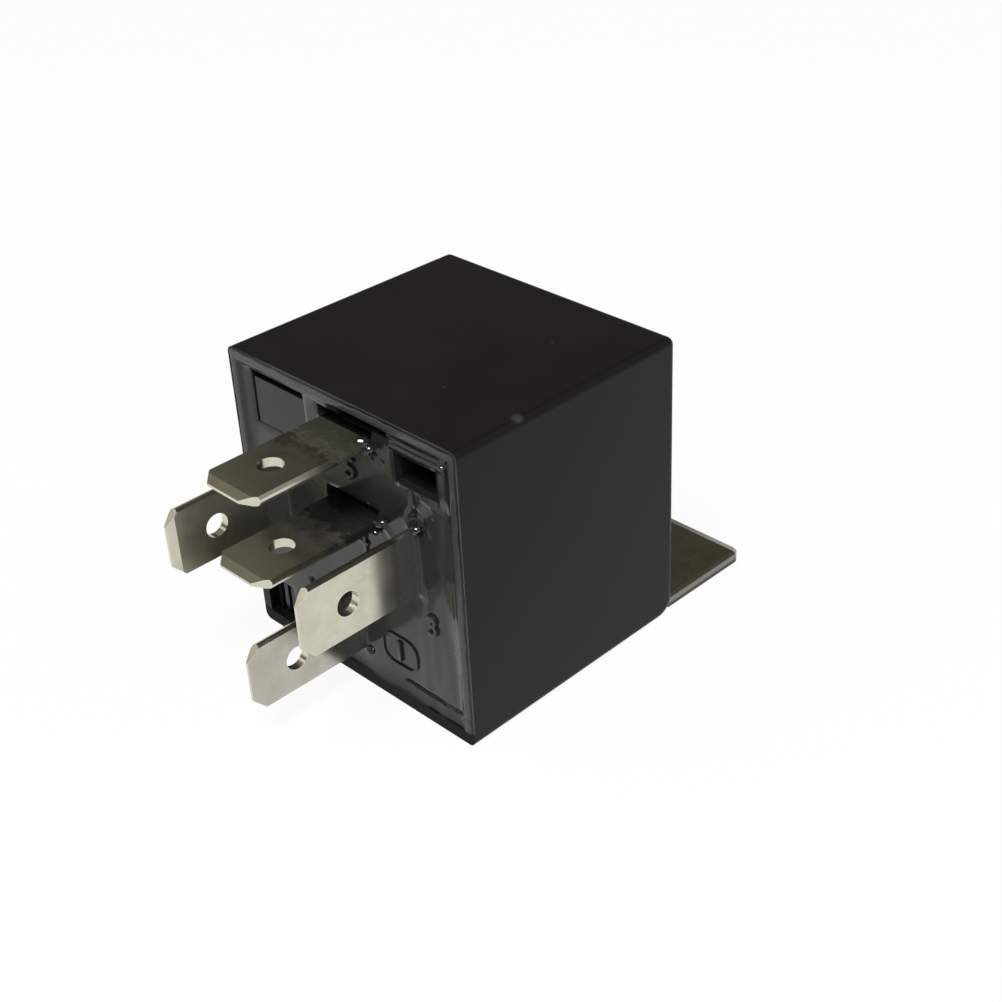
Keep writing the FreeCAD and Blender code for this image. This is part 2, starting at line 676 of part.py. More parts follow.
def make_open_terminal():
    """Upper blade whose arm rises beside the coil and turns in under the moving contact."""
    body = new_body("terminal_normally_open")
    make_blade(body, "level", "contact_pin_x", "upper_pin_z")
    half = "shoulder_wide / 2"
    left, right = "coil_x - arm_wide / 2", "coil_x + arm_wide / 2"
    seat = "base_in + shoulder_tall"
    foot = [
        ("contact_pin_x - " + half, "base_in"),
        ("contact_pin_x + " + half, "base_in"),
        ("contact_pin_x + " + half, seat),
        (right, seat),
        (right, "open_arm_y"),
        (left, "open_arm_y"),
        (left, seat),
        ("contact_pin_x - " + half, seat),
    ]
    extrude(body, "level", "upper_pin_z - blade_thick / 2", "blade_thick", [foot])
    arm = box(left, right, "open_z - arm_lap", "upper_pin_z + blade_thick / 2")
    extrude(body, "front", "open_arm_y - blade_thick", "blade_thick", [arm])
    round_arm(body, "open_arm_y", size_of("upper_pin_z") + size_of("blade_thick") / 2)
    hole = ("coil_x", "open_z", "shank_wide / 2")
    extrude(body, "front", "open_arm_y - blade_thick", "blade_thick", [hole], cut=True)
    return body


def make_closed_terminal():
    """Middle blade whose narrow neck passes the spring and turns out over the moving contact."""
    body = new_body("terminal_normally_closed")
    make_blade(body, "level", "contact_pin_x", "middle_pin_z")
    left = "contact_pin_x - shoulder_wide / 2"
    seat, top = "base_in + shoulder_tall", "closed_arm_y + blade_thick"
    foot = [
        (left, "base_in"),
        ("neck_end", "base_in"),
        ("neck_end", top),
        ("neck_x", top),
        ("neck_x", seat),
        (left, seat),
    ]
    extrude(body, "level", "middle_pin_z - blade_thick / 2", "blade_thick", [foot])
    low, far = "middle_pin_z - blade_thick / 2", "closed_z + arm_lap"
    reach = "coil_x - button_wide / 2 - 0.4"
    arm = [
        ("neck_x", low),
        ("neck_end", low),
        ("neck_end", far),
        (reach, far),
        (reach, "closed_z - arm_lap"),
        ("neck_x", "closed_z - arm_lap"),
    ]
    extrude(body, "front", "closed_arm_y", "blade_thick", [arm])
    outer = size_of("closed_arm_y") + size_of("blade_thick")
    lower = size_of("middle_pin_z") - size_of("blade_thick") / 2
    round_edges(
        body,
        "arm_bend",
        lambda edge: along(edge, X_AXIS)
        and abs(edge.CenterOfMass.y - outer) < 0.001
        and abs(edge.CenterOfMass.z - lower) < 0.001,
    )
    extrude(body, "front", "closed_arm_y", "blade_thick", [("coil_x", "closed_z", "shank_wide / 2")], cut=True)
    return body


def make_common_terminal():
    """Lower blade folded flat against the foot of the yoke, which carries its current."""
    body = new_body("terminal_common")
    make_blade(body, "side", "common_pin_z", "common_pin_x")
    lug = box(
        "coil_x - rest_wide / 2",
        "common_pin_x + blade_thick / 2",
        "common_pin_z - blade_wide / 2",
        "common_pin_z + blade_wide / 2",
    )
    extrude(body, "front", "base_in", "blade_thick", [lug])
    return body


# Magnet


def make_yoke():
    """L-shaped iron frame: a foot under the coil and an upright that the armature hinges on."""
    body = new_body("yoke", "coil_x")
    inner_y, inner_z = "frame_y + yoke_thick", "hinge_z + yoke_thick"
    profile = [
        ("frame_y", "hinge_z"),
        ("hinge_y", "hinge_z"),
        ("hinge_y", inner_z),
        (inner_y, inner_z),
        (inner_y, "yoke_end"),
        ("frame_y", "yoke_end"),
    ]
    extrude(body, "side", "-yoke_wide / 2", "yoke_wide", [profile])
    low_y, low_z = size_of("frame_y"), size_of("hinge_z")
    round_edges(
        body,
        "yoke_bend",
        lambda edge: along(edge, X_AXIS)
        and abs(edge.CenterOfMass.y - low_y) < 0.001
        and abs(edge.CenterOfMass.z - low_z) < 0.001,
    )
    extrude(body, "front", "frame_y", "yoke_thick", [("0", "coil_z", "spigot_wide / 2")], cut=True)
    for index in range(2):
        drop = "hinge_y - yoke_rivet_drop - yoke_rivet_pitch * %d" % index
        extrude(body, "level", "hinge_z", "yoke_thick", [("0", drop, "rivet_wide / 2")], cut=True)
    return body


def make_core():
    """Turned iron core with a riveted spigot and a broad pole face."""
    body = new_body("core", "coil_x", "rim_y", "coil_z")
    outline = [
        ("0", "frame_y"),
        ("spigot_wide / 2", "frame_y"),
        ("spigot_wide / 2", "bobbin_y"),
        ("core_wide / 2", "bobbin_y"),
        ("core_wide / 2", "pole_y"),
        ("pole_wide / 2", "pole_y"),
        ("pole_wide / 2", "hinge_y"),
        ("0", "hinge_y"),
    ]
    revolve(body, "0", outline)
    return body


def make_bobbin():
    """Moulded coil former: a barrel between two square flanges."""
    body = new_body("bobbin", "coil_x", "rim_y", "coil_z")
    square = box("-flange_wide / 2", "flange_wide / 2", "-flange_wide / 2", "flange_wide / 2")
    extrude(body, "front", "bobbin_y", "flange_thick", [square])
    extrude(body, "front", "bobbin_y", "bobbin_long", [("0", "0", "barrel_wide / 2")])
    extrude(body, "front", "pole_y - flange_thick", "flange_thick", [square])
    half = size_of("flange_wide") / 2 - 0.001
    round_edges(
        body,
        "flange_round",
        lambda edge: along(edge, Y_AXIS) and abs(edge.CenterOfMass.x) > half and abs(edge.CenterOfMass.z) > half,
    )
    bore = ("0", "0", "core_wide / 2 + core_gap")
    extrude(body, "front", "bobbin_y", "bobbin_long", [bore], cut=True)
    return body


def make_winding():
    """The whole copper winding, as one ring between the flanges."""
    body = new_body("coil_winding", "coil_x", "rim_y", "coil_z")
    low, high = "bobbin_y + flange_thick", "pole_y - flange_thick"
    revolve(
        body,
        "0",
        [
            ("barrel_wide / 2", low),
            ("winding_r", low),
            ("winding_r", high),
            ("barrel_wide / 2", high),
        ],
    )
    return body


def bent_wire(points, radius, thick, sides):
    """Wire of a many-sided section along straight runs joined by arcs that touch both."""
    edges = []
    start = points[0]
    for before, corner, after in zip(points, points[1:], points[2:]):
        enter = (corner - before).normalize()
        leave = (after - corner).normalize()
        turn = enter.getAngle(leave)
        back = radius * math.tan(turn / 2)
        begin = corner - enter * back
        finish = corner + leave * back
        inward = (leave - enter).normalize()
        middle = corner + inward * (radius / math.cos(turn / 2) - radius)
        edges.append(Part.makeLine(start, begin))
        edges.append(Part.Arc(begin, middle, finish).toShape())
        start = finish
    edges.append(Part.makeLine(start, points[-1]))
    path = Part.Wire(edges)
    across = (points[1] - points[0]).cross(Z_AXIS if abs(points[1].z - points[0].z) < 0.001 else X_AXIS)
    spoke = across.normalize() * (thick / 2)
    turn = [Rotation(points[1] - points[0], 360 * (i + 0.5) / sides) for i in range(sides)]
    corners = [points[0] + rotation.multVec(spoke) for rotation in turn]
    section = Part.makePolygon(corners + corners[:1])
    return path.makePipeShell([section], True, False)


def make_leads():
    """The two ends of the winding, each led up beside it and out to a post."""
    out = size_of("winding_r") + size_of("lead_wide") / 2 + size_of("wire_gap")
    post = (size_of("right_pin_x") - size_of("left_pin_x")) / 2 - size_of("blade_thick") / 2
    level = size_of("bobbin_y") + size_of("flange_thick") + size_of("lead_rise")
    rise = size_of("coil_pin_z") - size_of("coil_z")
    wires = []
    for side in (-1, 1):
        route = [Vector(side * out, level, 0), Vector(side * out, level, rise), Vector(side * post, level, rise)]
        wires.append(bent_wire(route, size_of("lead_bend"), size_of("lead_wide"), 8))
    leads = doc.addObject("Part::Feature", "coil_leads")
    leads.Label = "coil_leads"
    leads.Shape = Part.makeCompound(wires)
    leads.Placement = Placement(Vector(size_of("coil_x"), size_of("rim_y"), size_of("coil_z")), Rotation())
    return leads


# Armature and contacts


def make_armature():
    """Iron plate that rocks on the yoke's outer edge and is drawn to the pole face."""
    body = hinge_body("armature")
    half, nose = "armature_wide / 2", "armature_nose"
    plate = [
        ("-" + half, "heel_gap"),
        (half, "heel_gap"),
        (half, "armature_long - " + nose),
        (half + " - " + nose, "armature_long"),
        (nose + " - " + half, "armature_long"),
        ("-" + half, "armature_long - " + nose),
    ]
    extrude(body, "front", "seat_gap", "armature_thick", [plate])
    top, heel = size_of("leaf_low"), size_of("heel_gap")
    round_edges(
        body,
        "armature_thick / 2",
        lambda edge: along(edge, X_AXIS)
        and abs(edge.CenterOfMass.y - top) < 0.001
        and abs(edge.CenterOfMass.z - heel) < 0.001,
    )
    for index in range(2):
        place = ("0", "rivet_first + rivet_pitch * %d" % index, "rivet_wide / 2")
        extrude(body, "front", "seat_gap", "armature_thick", [place], cut=True)
    return body


def make_contact_spring():
    """Bent leaf that hinges the armature, pushes it open and carries the moving contact."""
    body = new_body("contact_spring", "coil_x", "rim_y + hinge_y", "hinge_z")
    rise, run = "sin(open_angle)", "cos(open_angle)"

    def tilted(height, reach):
        """A point of the open armature, in the relay's own directions."""
        across = "((%s) * %s + (%s) * %s)" % (height, run, reach, rise)
        up = "((%s) * %s - (%s) * %s)" % (reach, run, height, rise)
        return across, up

    inner = tilted("leaf_low", "leaf_low * tan(open_angle)")
    outer = tilted("leaf_high", "(leaf_high * %s - leaf_thick) / %s" % (rise, run))
    profile = [
        ("-leaf_tail", "-leaf_thick"),
        outer,
        tilted("leaf_high", "leaf_reach"),
        tilted("leaf_low", "leaf_reach"),
        inner,
        ("-leaf_tail", "0"),
    ]
    extrude(body, "side", "-leaf_wide / 2", "leaf_wide", [profile])
    round_edges(
        body,
        "leaf_thick * 0.9",
        lambda edge: along(edge, X_AXIS) and edge.CenterOfMass.y > 0 and edge.CenterOfMass.z < -0.2,
    )
    waist, far = "armature_long + 1", "leaf_reach + 1"
    sides = [
        [("leaf_wide / 2", waist), ("leaf_wide / 2 + 1", waist), ("leaf_wide / 2 + 1", far), ("leaf_tip / 2", far)],
        [("-leaf_wide / 2", waist), ("-leaf_wide / 2 - 1", waist), ("-leaf_wide / 2 - 1", far), ("-leaf_tip / 2", far)],
    ]
    extrude(body, "front", "0", "leaf_reach", sides, cut=True)
    window = box("-leaf_window / 2", "leaf_window / 2", "-leaf_thick * 2", "window_reach")
    extrude(body, "front", "-window_reach", "window_reach + leaf_high * 2", [window], cut=True)
    holes = [("0", "contact_arm * %s - leaf_high * %s" % (run, rise), "(shank_wide + shank_gap) / 2")]
    for index in range(2):
        arm = "(rivet_first + rivet_pitch * %d)" % index
        holes.append(("0", "%s * %s - leaf_high * %s" % (arm, run, rise), "(rivet_wide + shank_gap) / 2"))
    extrude(body, "front", "0", "leaf_reach", holes, cut=True)
    for index in range(2):
        drop = "-yoke_rivet_drop - yoke_rivet_pitch * %d" % index
        extrude(body, "level", "-leaf_thick", "leaf_thick", [("0", drop, "rivet_wide / 2")], cut=True)
    return body


def rivet_outline(foot, seat):
    """Half outline of a small rivet: its shank from foot to seat and its head above the seat."""
    head = seat + " + rivet_tall"
    return [
        ("0", foot),
        ("rivet_wide / 2", foot),
        ("rivet_wide / 2", seat),
        ("rivet_head / 2", seat),
        ("rivet_head / 2", head),
        ("0", head),
    ]


def make_armature_rivets():
    """Two rivets that hold the spring on the armature."""
    body = hinge_body("armature_rivets")
    for index in range(2):
        level = "rivet_first + rivet_pitch * %d" % index
        revolve(body, level, rivet_outline("seat_gap * 2", "leaf_high"))
    return body


def make_yoke_rivets():
    """Two rivets that hold the spring's tail on the yoke."""
    body = new_body("yoke_rivets", "coil_x", "rim_y + hinge_y", "hinge_z")
    outline = [
        ("0", "yoke_thick"),
        ("rivet_wide / 2", "yoke_thick"),
        ("rivet_wide / 2", "-leaf_thick"),
        ("rivet_head / 2", "-leaf_thick"),
        ("rivet_head / 2", "-leaf_thick - rivet_tall"),
        ("0", "-leaf_thick - rivet_tall"),
    ]
    for index in range(2):
        level = "-yoke_rivet_drop - yoke_rivet_pitch * %d" % index
        revolve(body, level, outline, plane="front")
    return body


def contact_outline(seat, thick, up):
    """Half outline of a contact rivet through an arm, its button on the side that up (1 or -1) names."""
    sign = "+" if up > 0 else "-"
    back = "-" if up > 0 else "+"
    tail = "%s %s %s %s tail_tall" % (seat, back, thick, back)
    arm = "%s %s %s" % (seat, back, thick)
    return [
        ("0", tail),
        ("tail_wide / 2", tail),
        ("tail_wide / 2", arm),
        ("shank_wide / 2", arm),
        ("shank_wide / 2", seat),
        ("button_wide / 2", seat),
        ("button_wide / 2", "%s %s (button_tall - button_crown)" % (seat, sign)),
        ("button_wide / 4", "%s %s (button_tall - button_crown / 4)" % (seat, sign)),
        ("0", "%s %s button_tall" % (seat, sign)),
    ]


def make_contacts():
    """The fixed contact buttons and the double-faced moving one."""
    lower = new_body("contact_normally_open", "coil_x")
    revolve(lower, "open_z", contact_outline("open_arm_y", "blade_thick", 1))
    upper = new_body("contact_normally_closed", "coil_x")
    revolve(upper, "closed_z", contact_outline("closed_arm_y", "blade_thick", -1))
    moving = hinge_body("moving_contact")
    revolve(
        moving,
        "contact_arm",
        [
            ("0", "leaf_low - button_tall"),
            ("button_wide / 2", "leaf_low - button_tall"),
            ("button_wide / 2", "leaf_low"),
            ("shank_wide / 2", "leaf_low"),
            ("shank_wide / 2", "leaf_high"),
            ("button_wide / 2", "leaf_high"),
            ("button_wide / 2", "button_top"),
            ("0", "button_top"),
        ],
    )
    return [lower, upper, moving]


def make_braid():
    """Copper braid from the top of the spring, round the coil, to the side of the yoke's foot."""
    lean = math.radians(size_of("open_angle"))
    thick = size_of("braid_wide")
    reach = size_of("braid_z") - size_of("hinge_z") + thick / 2
    top = size_of("hinge_y") + size_of("leaf_high") / math.cos(lean) + reach * math.tan(lean)
    top += thick / 2 + size_of("wire_gap")
    low = size_of("frame_y") + size_of("yoke_thick") / 2
    out = -size_of("flange_wide") / 2 - size_of("braid_gap") - thick / 2
    route = [
        Vector(-size_of("braid_start"), top, 0),
        Vector(out, top, 0),
        Vector(out, low, 0),
        Vector(-size_of("yoke_wide") / 2, low, 0),
    ]
    braid = doc.addObject("Part::Feature", "braid")
    braid.Label = "braid"
    braid.Shape = bent_wire(route, size_of("braid_bend"), thick, 12)
    braid.Placement = Placement(Vector(size_of("coil_x"), size_of("rim_y"), size_of("braid_z")), Rotation())
    return braid


def make_all():
    """Every piece of the relay, in the order it is put together."""
    pieces = [
        make_cover(),
        make_bracket(),
        make_base(),
        make_potting(),
        make_open_terminal(),
        make_closed_terminal(),
        make_common_terminal(),
        coil_terminal("terminal_coil_left", "left_pin_x"),
        coil_terminal("terminal_coil_right", "right_pin_x"),
        make_yoke(),
        make_core(),
        make_bobbin(),
        make_winding(),
        make_leads(),
        make_armature(),
        make_contact_spring(),
        make_armature_rivets(),
        make_yoke_rivets(),
    ]
    pieces += make_contacts()
    pieces.append(make_braid())
    return pieces


def check_and_write(pieces):
    """Stop on any failed object or unsound solid, then write one file for each piece."""
    doc.recompute()
    faults = [item.Name for item in doc.Objects if {"Invalid", "Error"} & set(item.State)]
    faults += [piece.Label for piece in pieces if piece.Shape.isNull() or not piece.Shape.isValid()]
    if faults:
        raise RuntimeError("failed: " + ", ".join(faults))
    os.makedirs("parts", exist_ok=True)
    for piece in pieces:
        piece.Shape.exportStep("parts/%s.step" % piece.Label)
        extent = piece.Shape.BoundBox
        print(
            "%-26s solids %d volume %9.3f  x %.2f %.2f  y %.2f %.2f  z %.2f %.2f"
            % (
                piece.Label,
                len(piece.Shape.Solids),
                piece.Shape.Volume,
                extent.XMin,
                extent.XMax,
                extent.YMin,
                extent.YMax,
                extent.ZMin,
                extent.ZMax,
            )
        )


check_and_write(make_all())
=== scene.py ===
import math

import bmesh
import bpy
from mathutils import Matrix, Vector, noise


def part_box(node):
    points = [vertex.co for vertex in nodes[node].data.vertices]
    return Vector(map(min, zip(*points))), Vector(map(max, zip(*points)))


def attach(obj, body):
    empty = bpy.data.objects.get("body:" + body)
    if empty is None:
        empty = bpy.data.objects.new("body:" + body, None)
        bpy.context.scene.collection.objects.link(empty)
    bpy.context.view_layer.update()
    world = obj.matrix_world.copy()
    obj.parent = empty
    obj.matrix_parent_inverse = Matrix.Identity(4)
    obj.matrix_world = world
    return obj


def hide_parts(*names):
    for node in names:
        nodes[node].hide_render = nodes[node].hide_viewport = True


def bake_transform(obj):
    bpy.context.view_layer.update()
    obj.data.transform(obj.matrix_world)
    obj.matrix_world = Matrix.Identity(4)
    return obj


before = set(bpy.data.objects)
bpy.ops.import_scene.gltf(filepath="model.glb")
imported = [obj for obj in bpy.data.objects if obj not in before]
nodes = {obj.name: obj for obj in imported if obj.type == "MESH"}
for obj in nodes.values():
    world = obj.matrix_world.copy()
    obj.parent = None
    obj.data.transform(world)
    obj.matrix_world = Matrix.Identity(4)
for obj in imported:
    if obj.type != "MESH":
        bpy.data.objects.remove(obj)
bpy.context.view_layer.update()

mm = 0.001
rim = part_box("cover")[0][1] / mm  # the open end of the cover
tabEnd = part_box("bracket")[1][1] / mm  # the bracket's free end
mergeWithin = 0.000001  # metres
hair = 0.00001  # metres, a margin for picking by place

print("frame loaded:", len(nodes), "nodes")


# a point given in mm, with Y from the rim
def fromRim(x, y, z):
    return Vector((x, y + rim, z)) * mm


# camera

camera = {
    "place": (94.382, -71.207, 91.958),  # mm, from the rim
    "azimuth": 46.742,
    "elevation": 32.281,
    "roll": -3.099,
    "lens": 60.386,
    "sensor": 36,
    "clip": (0.005, 20),  # metres
}


def addCamera(values):
    turn = math.radians(values["azimuth"])
    lift = math.radians(values["elevation"])
    roll = math.radians(values["roll"])
    back = Vector((math.sin(turn) * math.cos(lift), -math.cos(turn) * math.cos(lift), math.sin(lift)))
    right = (-back).cross(Vector((0, 0, 1))).normalized()
    up = right.cross(-back)
    rightRolled = right * math.cos(roll) + up * math.sin(roll)
    upRolled = up * math.cos(roll) - right * math.sin(roll)
    bpy.ops.object.camera_add()
    cam = bpy.context.active_object
    cam.name = "camera"
    placed = Matrix((rightRolled, upRolled, back)).transposed().to_4x4()
    placed.translation = fromRim(*values["place"])
    cam.matrix_world = placed
    cam.data.lens = values["lens"]
    cam.data.sensor_width = values["sensor"]
    cam.data.clip_start, cam.data.clip_end = values["clip"]
    bpy.context.scene.camera = cam


addCamera(camera)
print("camera set")


# modelling helpers

def deselectAll():
    if bpy.context.object and bpy.context.object.mode != "OBJECT":
        bpy.ops.object.mode_set(mode="OBJECT")
    bpy.ops.object.select_all(action="DESELECT")


def pickOnly(piece):
    deselectAll()
    piece.select_set(True)
    bpy.context.view_layer.objects.active = piece


def settle(piece):
    pickOnly(piece)
    bpy.ops.object.transform_apply(location=True, rotation=True, scale=True)


def closeUp(piece):
    pickOnly(piece)
    bpy.ops.object.mode_set(mode="EDIT")
    bpy.ops.mesh.select_all(action="SELECT")
    bpy.ops.mesh.remove_doubles(threshold=mergeWithin)
    bpy.ops.mesh.normals_make_consistent(inside=False)
    bpy.ops.object.mode_set(mode="OBJECT")


def pickFaces(piece, wanted):
    pickOnly(piece)
    bpy.ops.object.mode_set(mode="EDIT")
    bpy.ops.mesh.select_mode(type="FACE")
    bpy.ops.mesh.select_all(action="DESELECT")
    shape = bmesh.from_edit_mesh(piece.data)
    for face in shape.faces:
        face.select = wanted(face)
    shape.select_flush_mode()
    bmesh.update_edit_mesh(piece.data)


def blockAt(x0, x1, y0, y1, z0, z1):
    deselectAll()
    middle = fromRim((x0 + x1) / 2, (y0 + y1) / 2, (z0 + z1) / 2)
    bpy.ops.mesh.primitive_cube_add(size=mm, location=middle, scale=(x1 - x0, y1 - y0, z1 - z0))
    block = bpy.context.active_object
    settle(block)
    return block


def joined(pieces, name):
    deselectAll()
    for piece in pieces:
        piece.select_set(True)
    bpy.context.view_layer.objects.active = pieces[0]
    bpy.ops.object.join()
    whole = bpy.context.active_object
    whole.name = name
    return whole


def copyOfNode(name, label):
    pickOnly(nodes[name])
    bpy.ops.object.duplicate()
    copy = bpy.context.active_object
    copy.parent = None
    for key in list(copy.keys()):
        del copy[key]
    copy.name = label
    copy.matrix_world = Matrix.Identity(4)
    pickOnly(copy)
    bpy.ops.object.mode_set(mode="EDIT")
    bpy.ops.mesh.select_all(action="SELECT")
    bpy.ops.mesh.remove_doubles(threshold=mergeWithin)
    bpy.ops.object.mode_set(mode="OBJECT")
    return copy


# shared effects, as node groups

def newGroup(name, inputs, outputs):
    group = bpy.data.node_groups.new(name, "ShaderNodeTree")
    for label, kind, value in inputs:
        socket = group.interface.new_socket(name=label, in_out="INPUT", socket_type=kind)
        if value is not None:
            socket.default_value = value
    for label, kind in outputs:
        group.interface.new_socket(name=label, in_out="OUTPUT", socket_type=kind)
    start = group.nodes.new("NodeGroupInput")
    end = group.nodes.new("NodeGroupOutput")
    return group, start, end


def addNode(tree, kind, values=None, **settings):
    node = tree.nodes.new(kind)
    for key, value in settings.items():
        setattr(node, key, value)
    for key, value in (values or {}).items():
        node.inputs[key].default_value = value
    return node


def makeMottle():
    group, start, end = newGroup(
        "mottle",
        [("Vector", "NodeSocketVector", None), ("Scale", "NodeSocketFloat", 300.0),
         ("Low", "NodeSocketFloat", 0.3), ("High", "NodeSocketFloat", 0.7)],
        [("Mask", "NodeSocketFloat")])
    cloud = addNode(group, "ShaderNodeTexNoise", {"Detail": 6.0, "Roughness": 0.62})
    spread = addNode(group, "ShaderNodeMapRange", interpolation_type="SMOOTHSTEP")
    group.links.new(start.outputs["Vector"], cloud.inputs["Vector"])
    group.links.new(start.outputs["Scale"], cloud.inputs["Scale"])
    group.links.new(cloud.outputs["Fac"], spread.inputs["Value"])
    group.links.new(start.outputs["Low"], spread.inputs["From Min"])
    group.links.new(start.outputs["High"], spread.inputs["From Max"])
    group.links.new(spread.outputs["Result"], end.inputs["Mask"])
    return group


# an edge mask broken into patches: it lays a painted highlight along edges, as well as edge wear
def makeEdgeWearAndSheen():
    group, start, end = newGroup(
        "edgeWearAndSheen",
        [("Vector", "NodeSocketVector", None), ("Width", "NodeSocketFloat", 0.0002),
         ("Gain", "NodeSocketFloat", 6.0), ("Patches", "NodeSocketFloat", 400.0)],
        [("Mask", "NodeSocketFloat")])
    rounded = addNode(group, "ShaderNodeBevel", samples=6)
    flat = addNode(group, "ShaderNodeNewGeometry")
    dot = addNode(group, "ShaderNodeVectorMath", operation="DOT_PRODUCT")
    turn = addNode(group, "ShaderNodeMath", {0: 1.0}, operation="SUBTRACT")
    gain = addNode(group, "ShaderNodeMath", operation="MULTIPLY")
    cloud = addNode(group, "ShaderNodeTexNoise", {"Detail": 4.0})
    broken = addNode(group, "ShaderNodeMath", operation="MULTIPLY", use_clamp=True)
    group.links.new(start.outputs["Width"], rounded.inputs["Radius"])
    group.links.new(rounded.outputs["Normal"], dot.inputs[0])
    group.links.new(flat.outputs["Normal"], dot.inputs[1])
    group.links.new(dot.outputs["Value"], turn.inputs[1])
    group.links.new(turn.outputs[0], gain.inputs[0])
    group.links.new(start.outputs["Gain"], gain.inputs[1])
    group.links.new(start.outputs["Vector"], cloud.inputs["Vector"])
    group.links.new(start.outputs["Patches"], cloud.inputs["Scale"])
    group.links.new(gain.outputs[0], broken.inputs[0])
    group.links.new(cloud.outputs["Fac"], broken.inputs[1])
    group.links.new(broken.outputs[0], end.inputs["Mask"])
    return group


def makeGrain():
    group, start, end = newGroup(
        "mouldGrain",
        [("Vector", "NodeSocketVector", None), ("Fine", "NodeSocketFloat", 6000.0),
         ("Wave", "NodeSocketFloat", 120.0), ("WaveShare", "NodeSocketFloat", 0.3)],
        [("Height", "NodeSocketFloat")])
    fine = addNode(group, "ShaderNodeTexNoise", {"Detail": 3.0})
    wave = addNode(group, "ShaderNodeTexNoise", {"Detail": 1.0})
    mix = addNode(group, "ShaderNodeMix", data_type="FLOAT")
    for part, label in ((fine, "Fine"), (wave, "Wave")):
        group.links.new(start.outputs["Vector"], part.inputs["Vector"])
        group.links.new(start.outputs[label], part.inputs["Scale"])
    group.links.new(start.outputs["WaveShare"], mix.inputs[0])
    group.links.new(fine.outputs["Fac"], mix.inputs[2])
    group.links.new(wave.outputs["Fac"], mix.inputs[3])
    group.links.new(mix.outputs[0], end.inputs["Height"])
    return group


def makeSpecks():
    group, start, end = newGroup(
        "specks",
        [("Vector", "NodeSocketVector", None), ("Scale", "NodeSocketFloat", 900.0),
         ("Size", "NodeSocketFloat", 0.12), ("Chance", "NodeSocketFloat", 0.9)],
        [("Mask", "NodeSocketFloat")])
    cells = addNode(group, "ShaderNodeTexVoronoi", {"Randomness": 1.0})
    near = addNode(group, "ShaderNodeMath", operation="LESS_THAN")
    chosen = addNode(group, "ShaderNodeMath", operation="GREATER_THAN")
    split = addNode(group, "ShaderNodeSeparateColor")
    both = addNode(group, "ShaderNodeMath", operation="MULTIPLY")
    group.links.new(start.outputs["Vector"], cells.inputs["Vector"])
    group.links.new(start.outputs["Scale"], cells.inputs["Scale"])
    group.links.new(cells.outputs["Distance"], near.inputs[0])
    group.links.new(start.outputs["Size"], near.inputs[1])
    group.links.new(cells.outputs["Color"], split.inputs["Color"])
    group.links.new(split.outputs["Red"], chosen.inputs[0])
    group.links.new(start.outputs["Chance"], chosen.inputs[1])
    group.links.new(near.outputs[0], both.inputs[0])
    group.links.new(chosen.outputs[0], both.inputs[1])
    group.links.new(both.outputs[0], end.inputs["Mask"])
    return group


mottle = makeMottle()
edgeWearAndSheen = makeEdgeWearAndSheen()
mouldGrain = makeGrain()
specks = makeSpecks()
print("effect groups made")


# materials

def startMaterial(name, shader):
    material = bpy.data.materials.new(name)
    material.use_nodes = True
    tree = material.node_tree
    surface = tree.nodes["Principled BSDF"]
    for key, value in shader.items():
        surface.inputs[key].default_value = value
    place = addNode(tree, "ShaderNodeTexCoord")
    return material, tree, surface, place.outputs["Object"]


def placeGroup(tree, group, vector, values):
    node = tree.nodes.new("ShaderNodeGroup")
    node.node_tree = group
    tree.links.new(vector, node.inputs["Vector"])
    for key, value in values.items():
        node.inputs[key].default_value = value
    return node.outputs[0]


def blendColours(tree, mask, under, over):
    mix = addNode(tree, "ShaderNodeMix", data_type="RGBA")
    tree.links.new(mask, mix.inputs[0])
    for slotNumber, colour in ((6, under), (7, over)):  # the Mix node's two colour inputs
        if isinstance(colour, tuple):
            mix.inputs[slotNumber].default_value = (*colour, 1.0)
        else:
            tree.links.new(colour, mix.inputs[slotNumber])
    return mix.outputs[2]


def mapRange(tree, value, limits):
    spread = addNode(tree, "ShaderNodeMapRange", limits)
    tree.links.new(value, spread.inputs["Value"])
    return spread.outputs["Result"]


def spreadValue(tree, mask, low, high):
    return mapRange(tree, mask, {"To Min": low, "To Max": high})


def raiseSurface(tree, surface, height, strength, distance):
    bump = addNode(tree, "ShaderNodeBump", {"Strength": strength, "Distance": distance})
    tree.links.new(height, bump.inputs["Height"])
    tree.links.new(bump.outputs["Normal"], surface.inputs["Normal"])


# a mask that rises as the surface turns away from an axis, either way
def facing(tree, way, start, end):
    geometry = addNode(tree, "ShaderNodeTexCoord")
    dot = addNode(tree, "ShaderNodeVectorMath", {1: way}, operation="DOT_PRODUCT")
    size = addNode(tree, "ShaderNodeMath", operation="ABSOLUTE")
    tree.links.new(geometry.outputs["Normal"], dot.inputs[0])
    tree.links.new(dot.outputs["Value"], size.inputs[0])
    return mapRange(tree, size.outputs[0], {"From Min": start, "From Max": end})


# a mask that rises from start to end along one axis of the piece, in mm
def axisBand(tree, place, axis, start, end):
    split = addNode(tree, "ShaderNodeSeparateXYZ")
    tree.links.new(place, split.inputs[0])
    return mapRange(tree, split.outputs[axis], {"From Min": start * mm, "From Max": end * mm})


def combine(tree, operation, first, second):
    result = addNode(tree, "ShaderNodeMath", operation=operation)
    tree.links.new(first, result.inputs[0])
    tree.links.new(second, result.inputs[1])
    return result.outputs[0]


def bothMasks(tree, first, second):
    return combine(tree, "MULTIPLY", first, second)
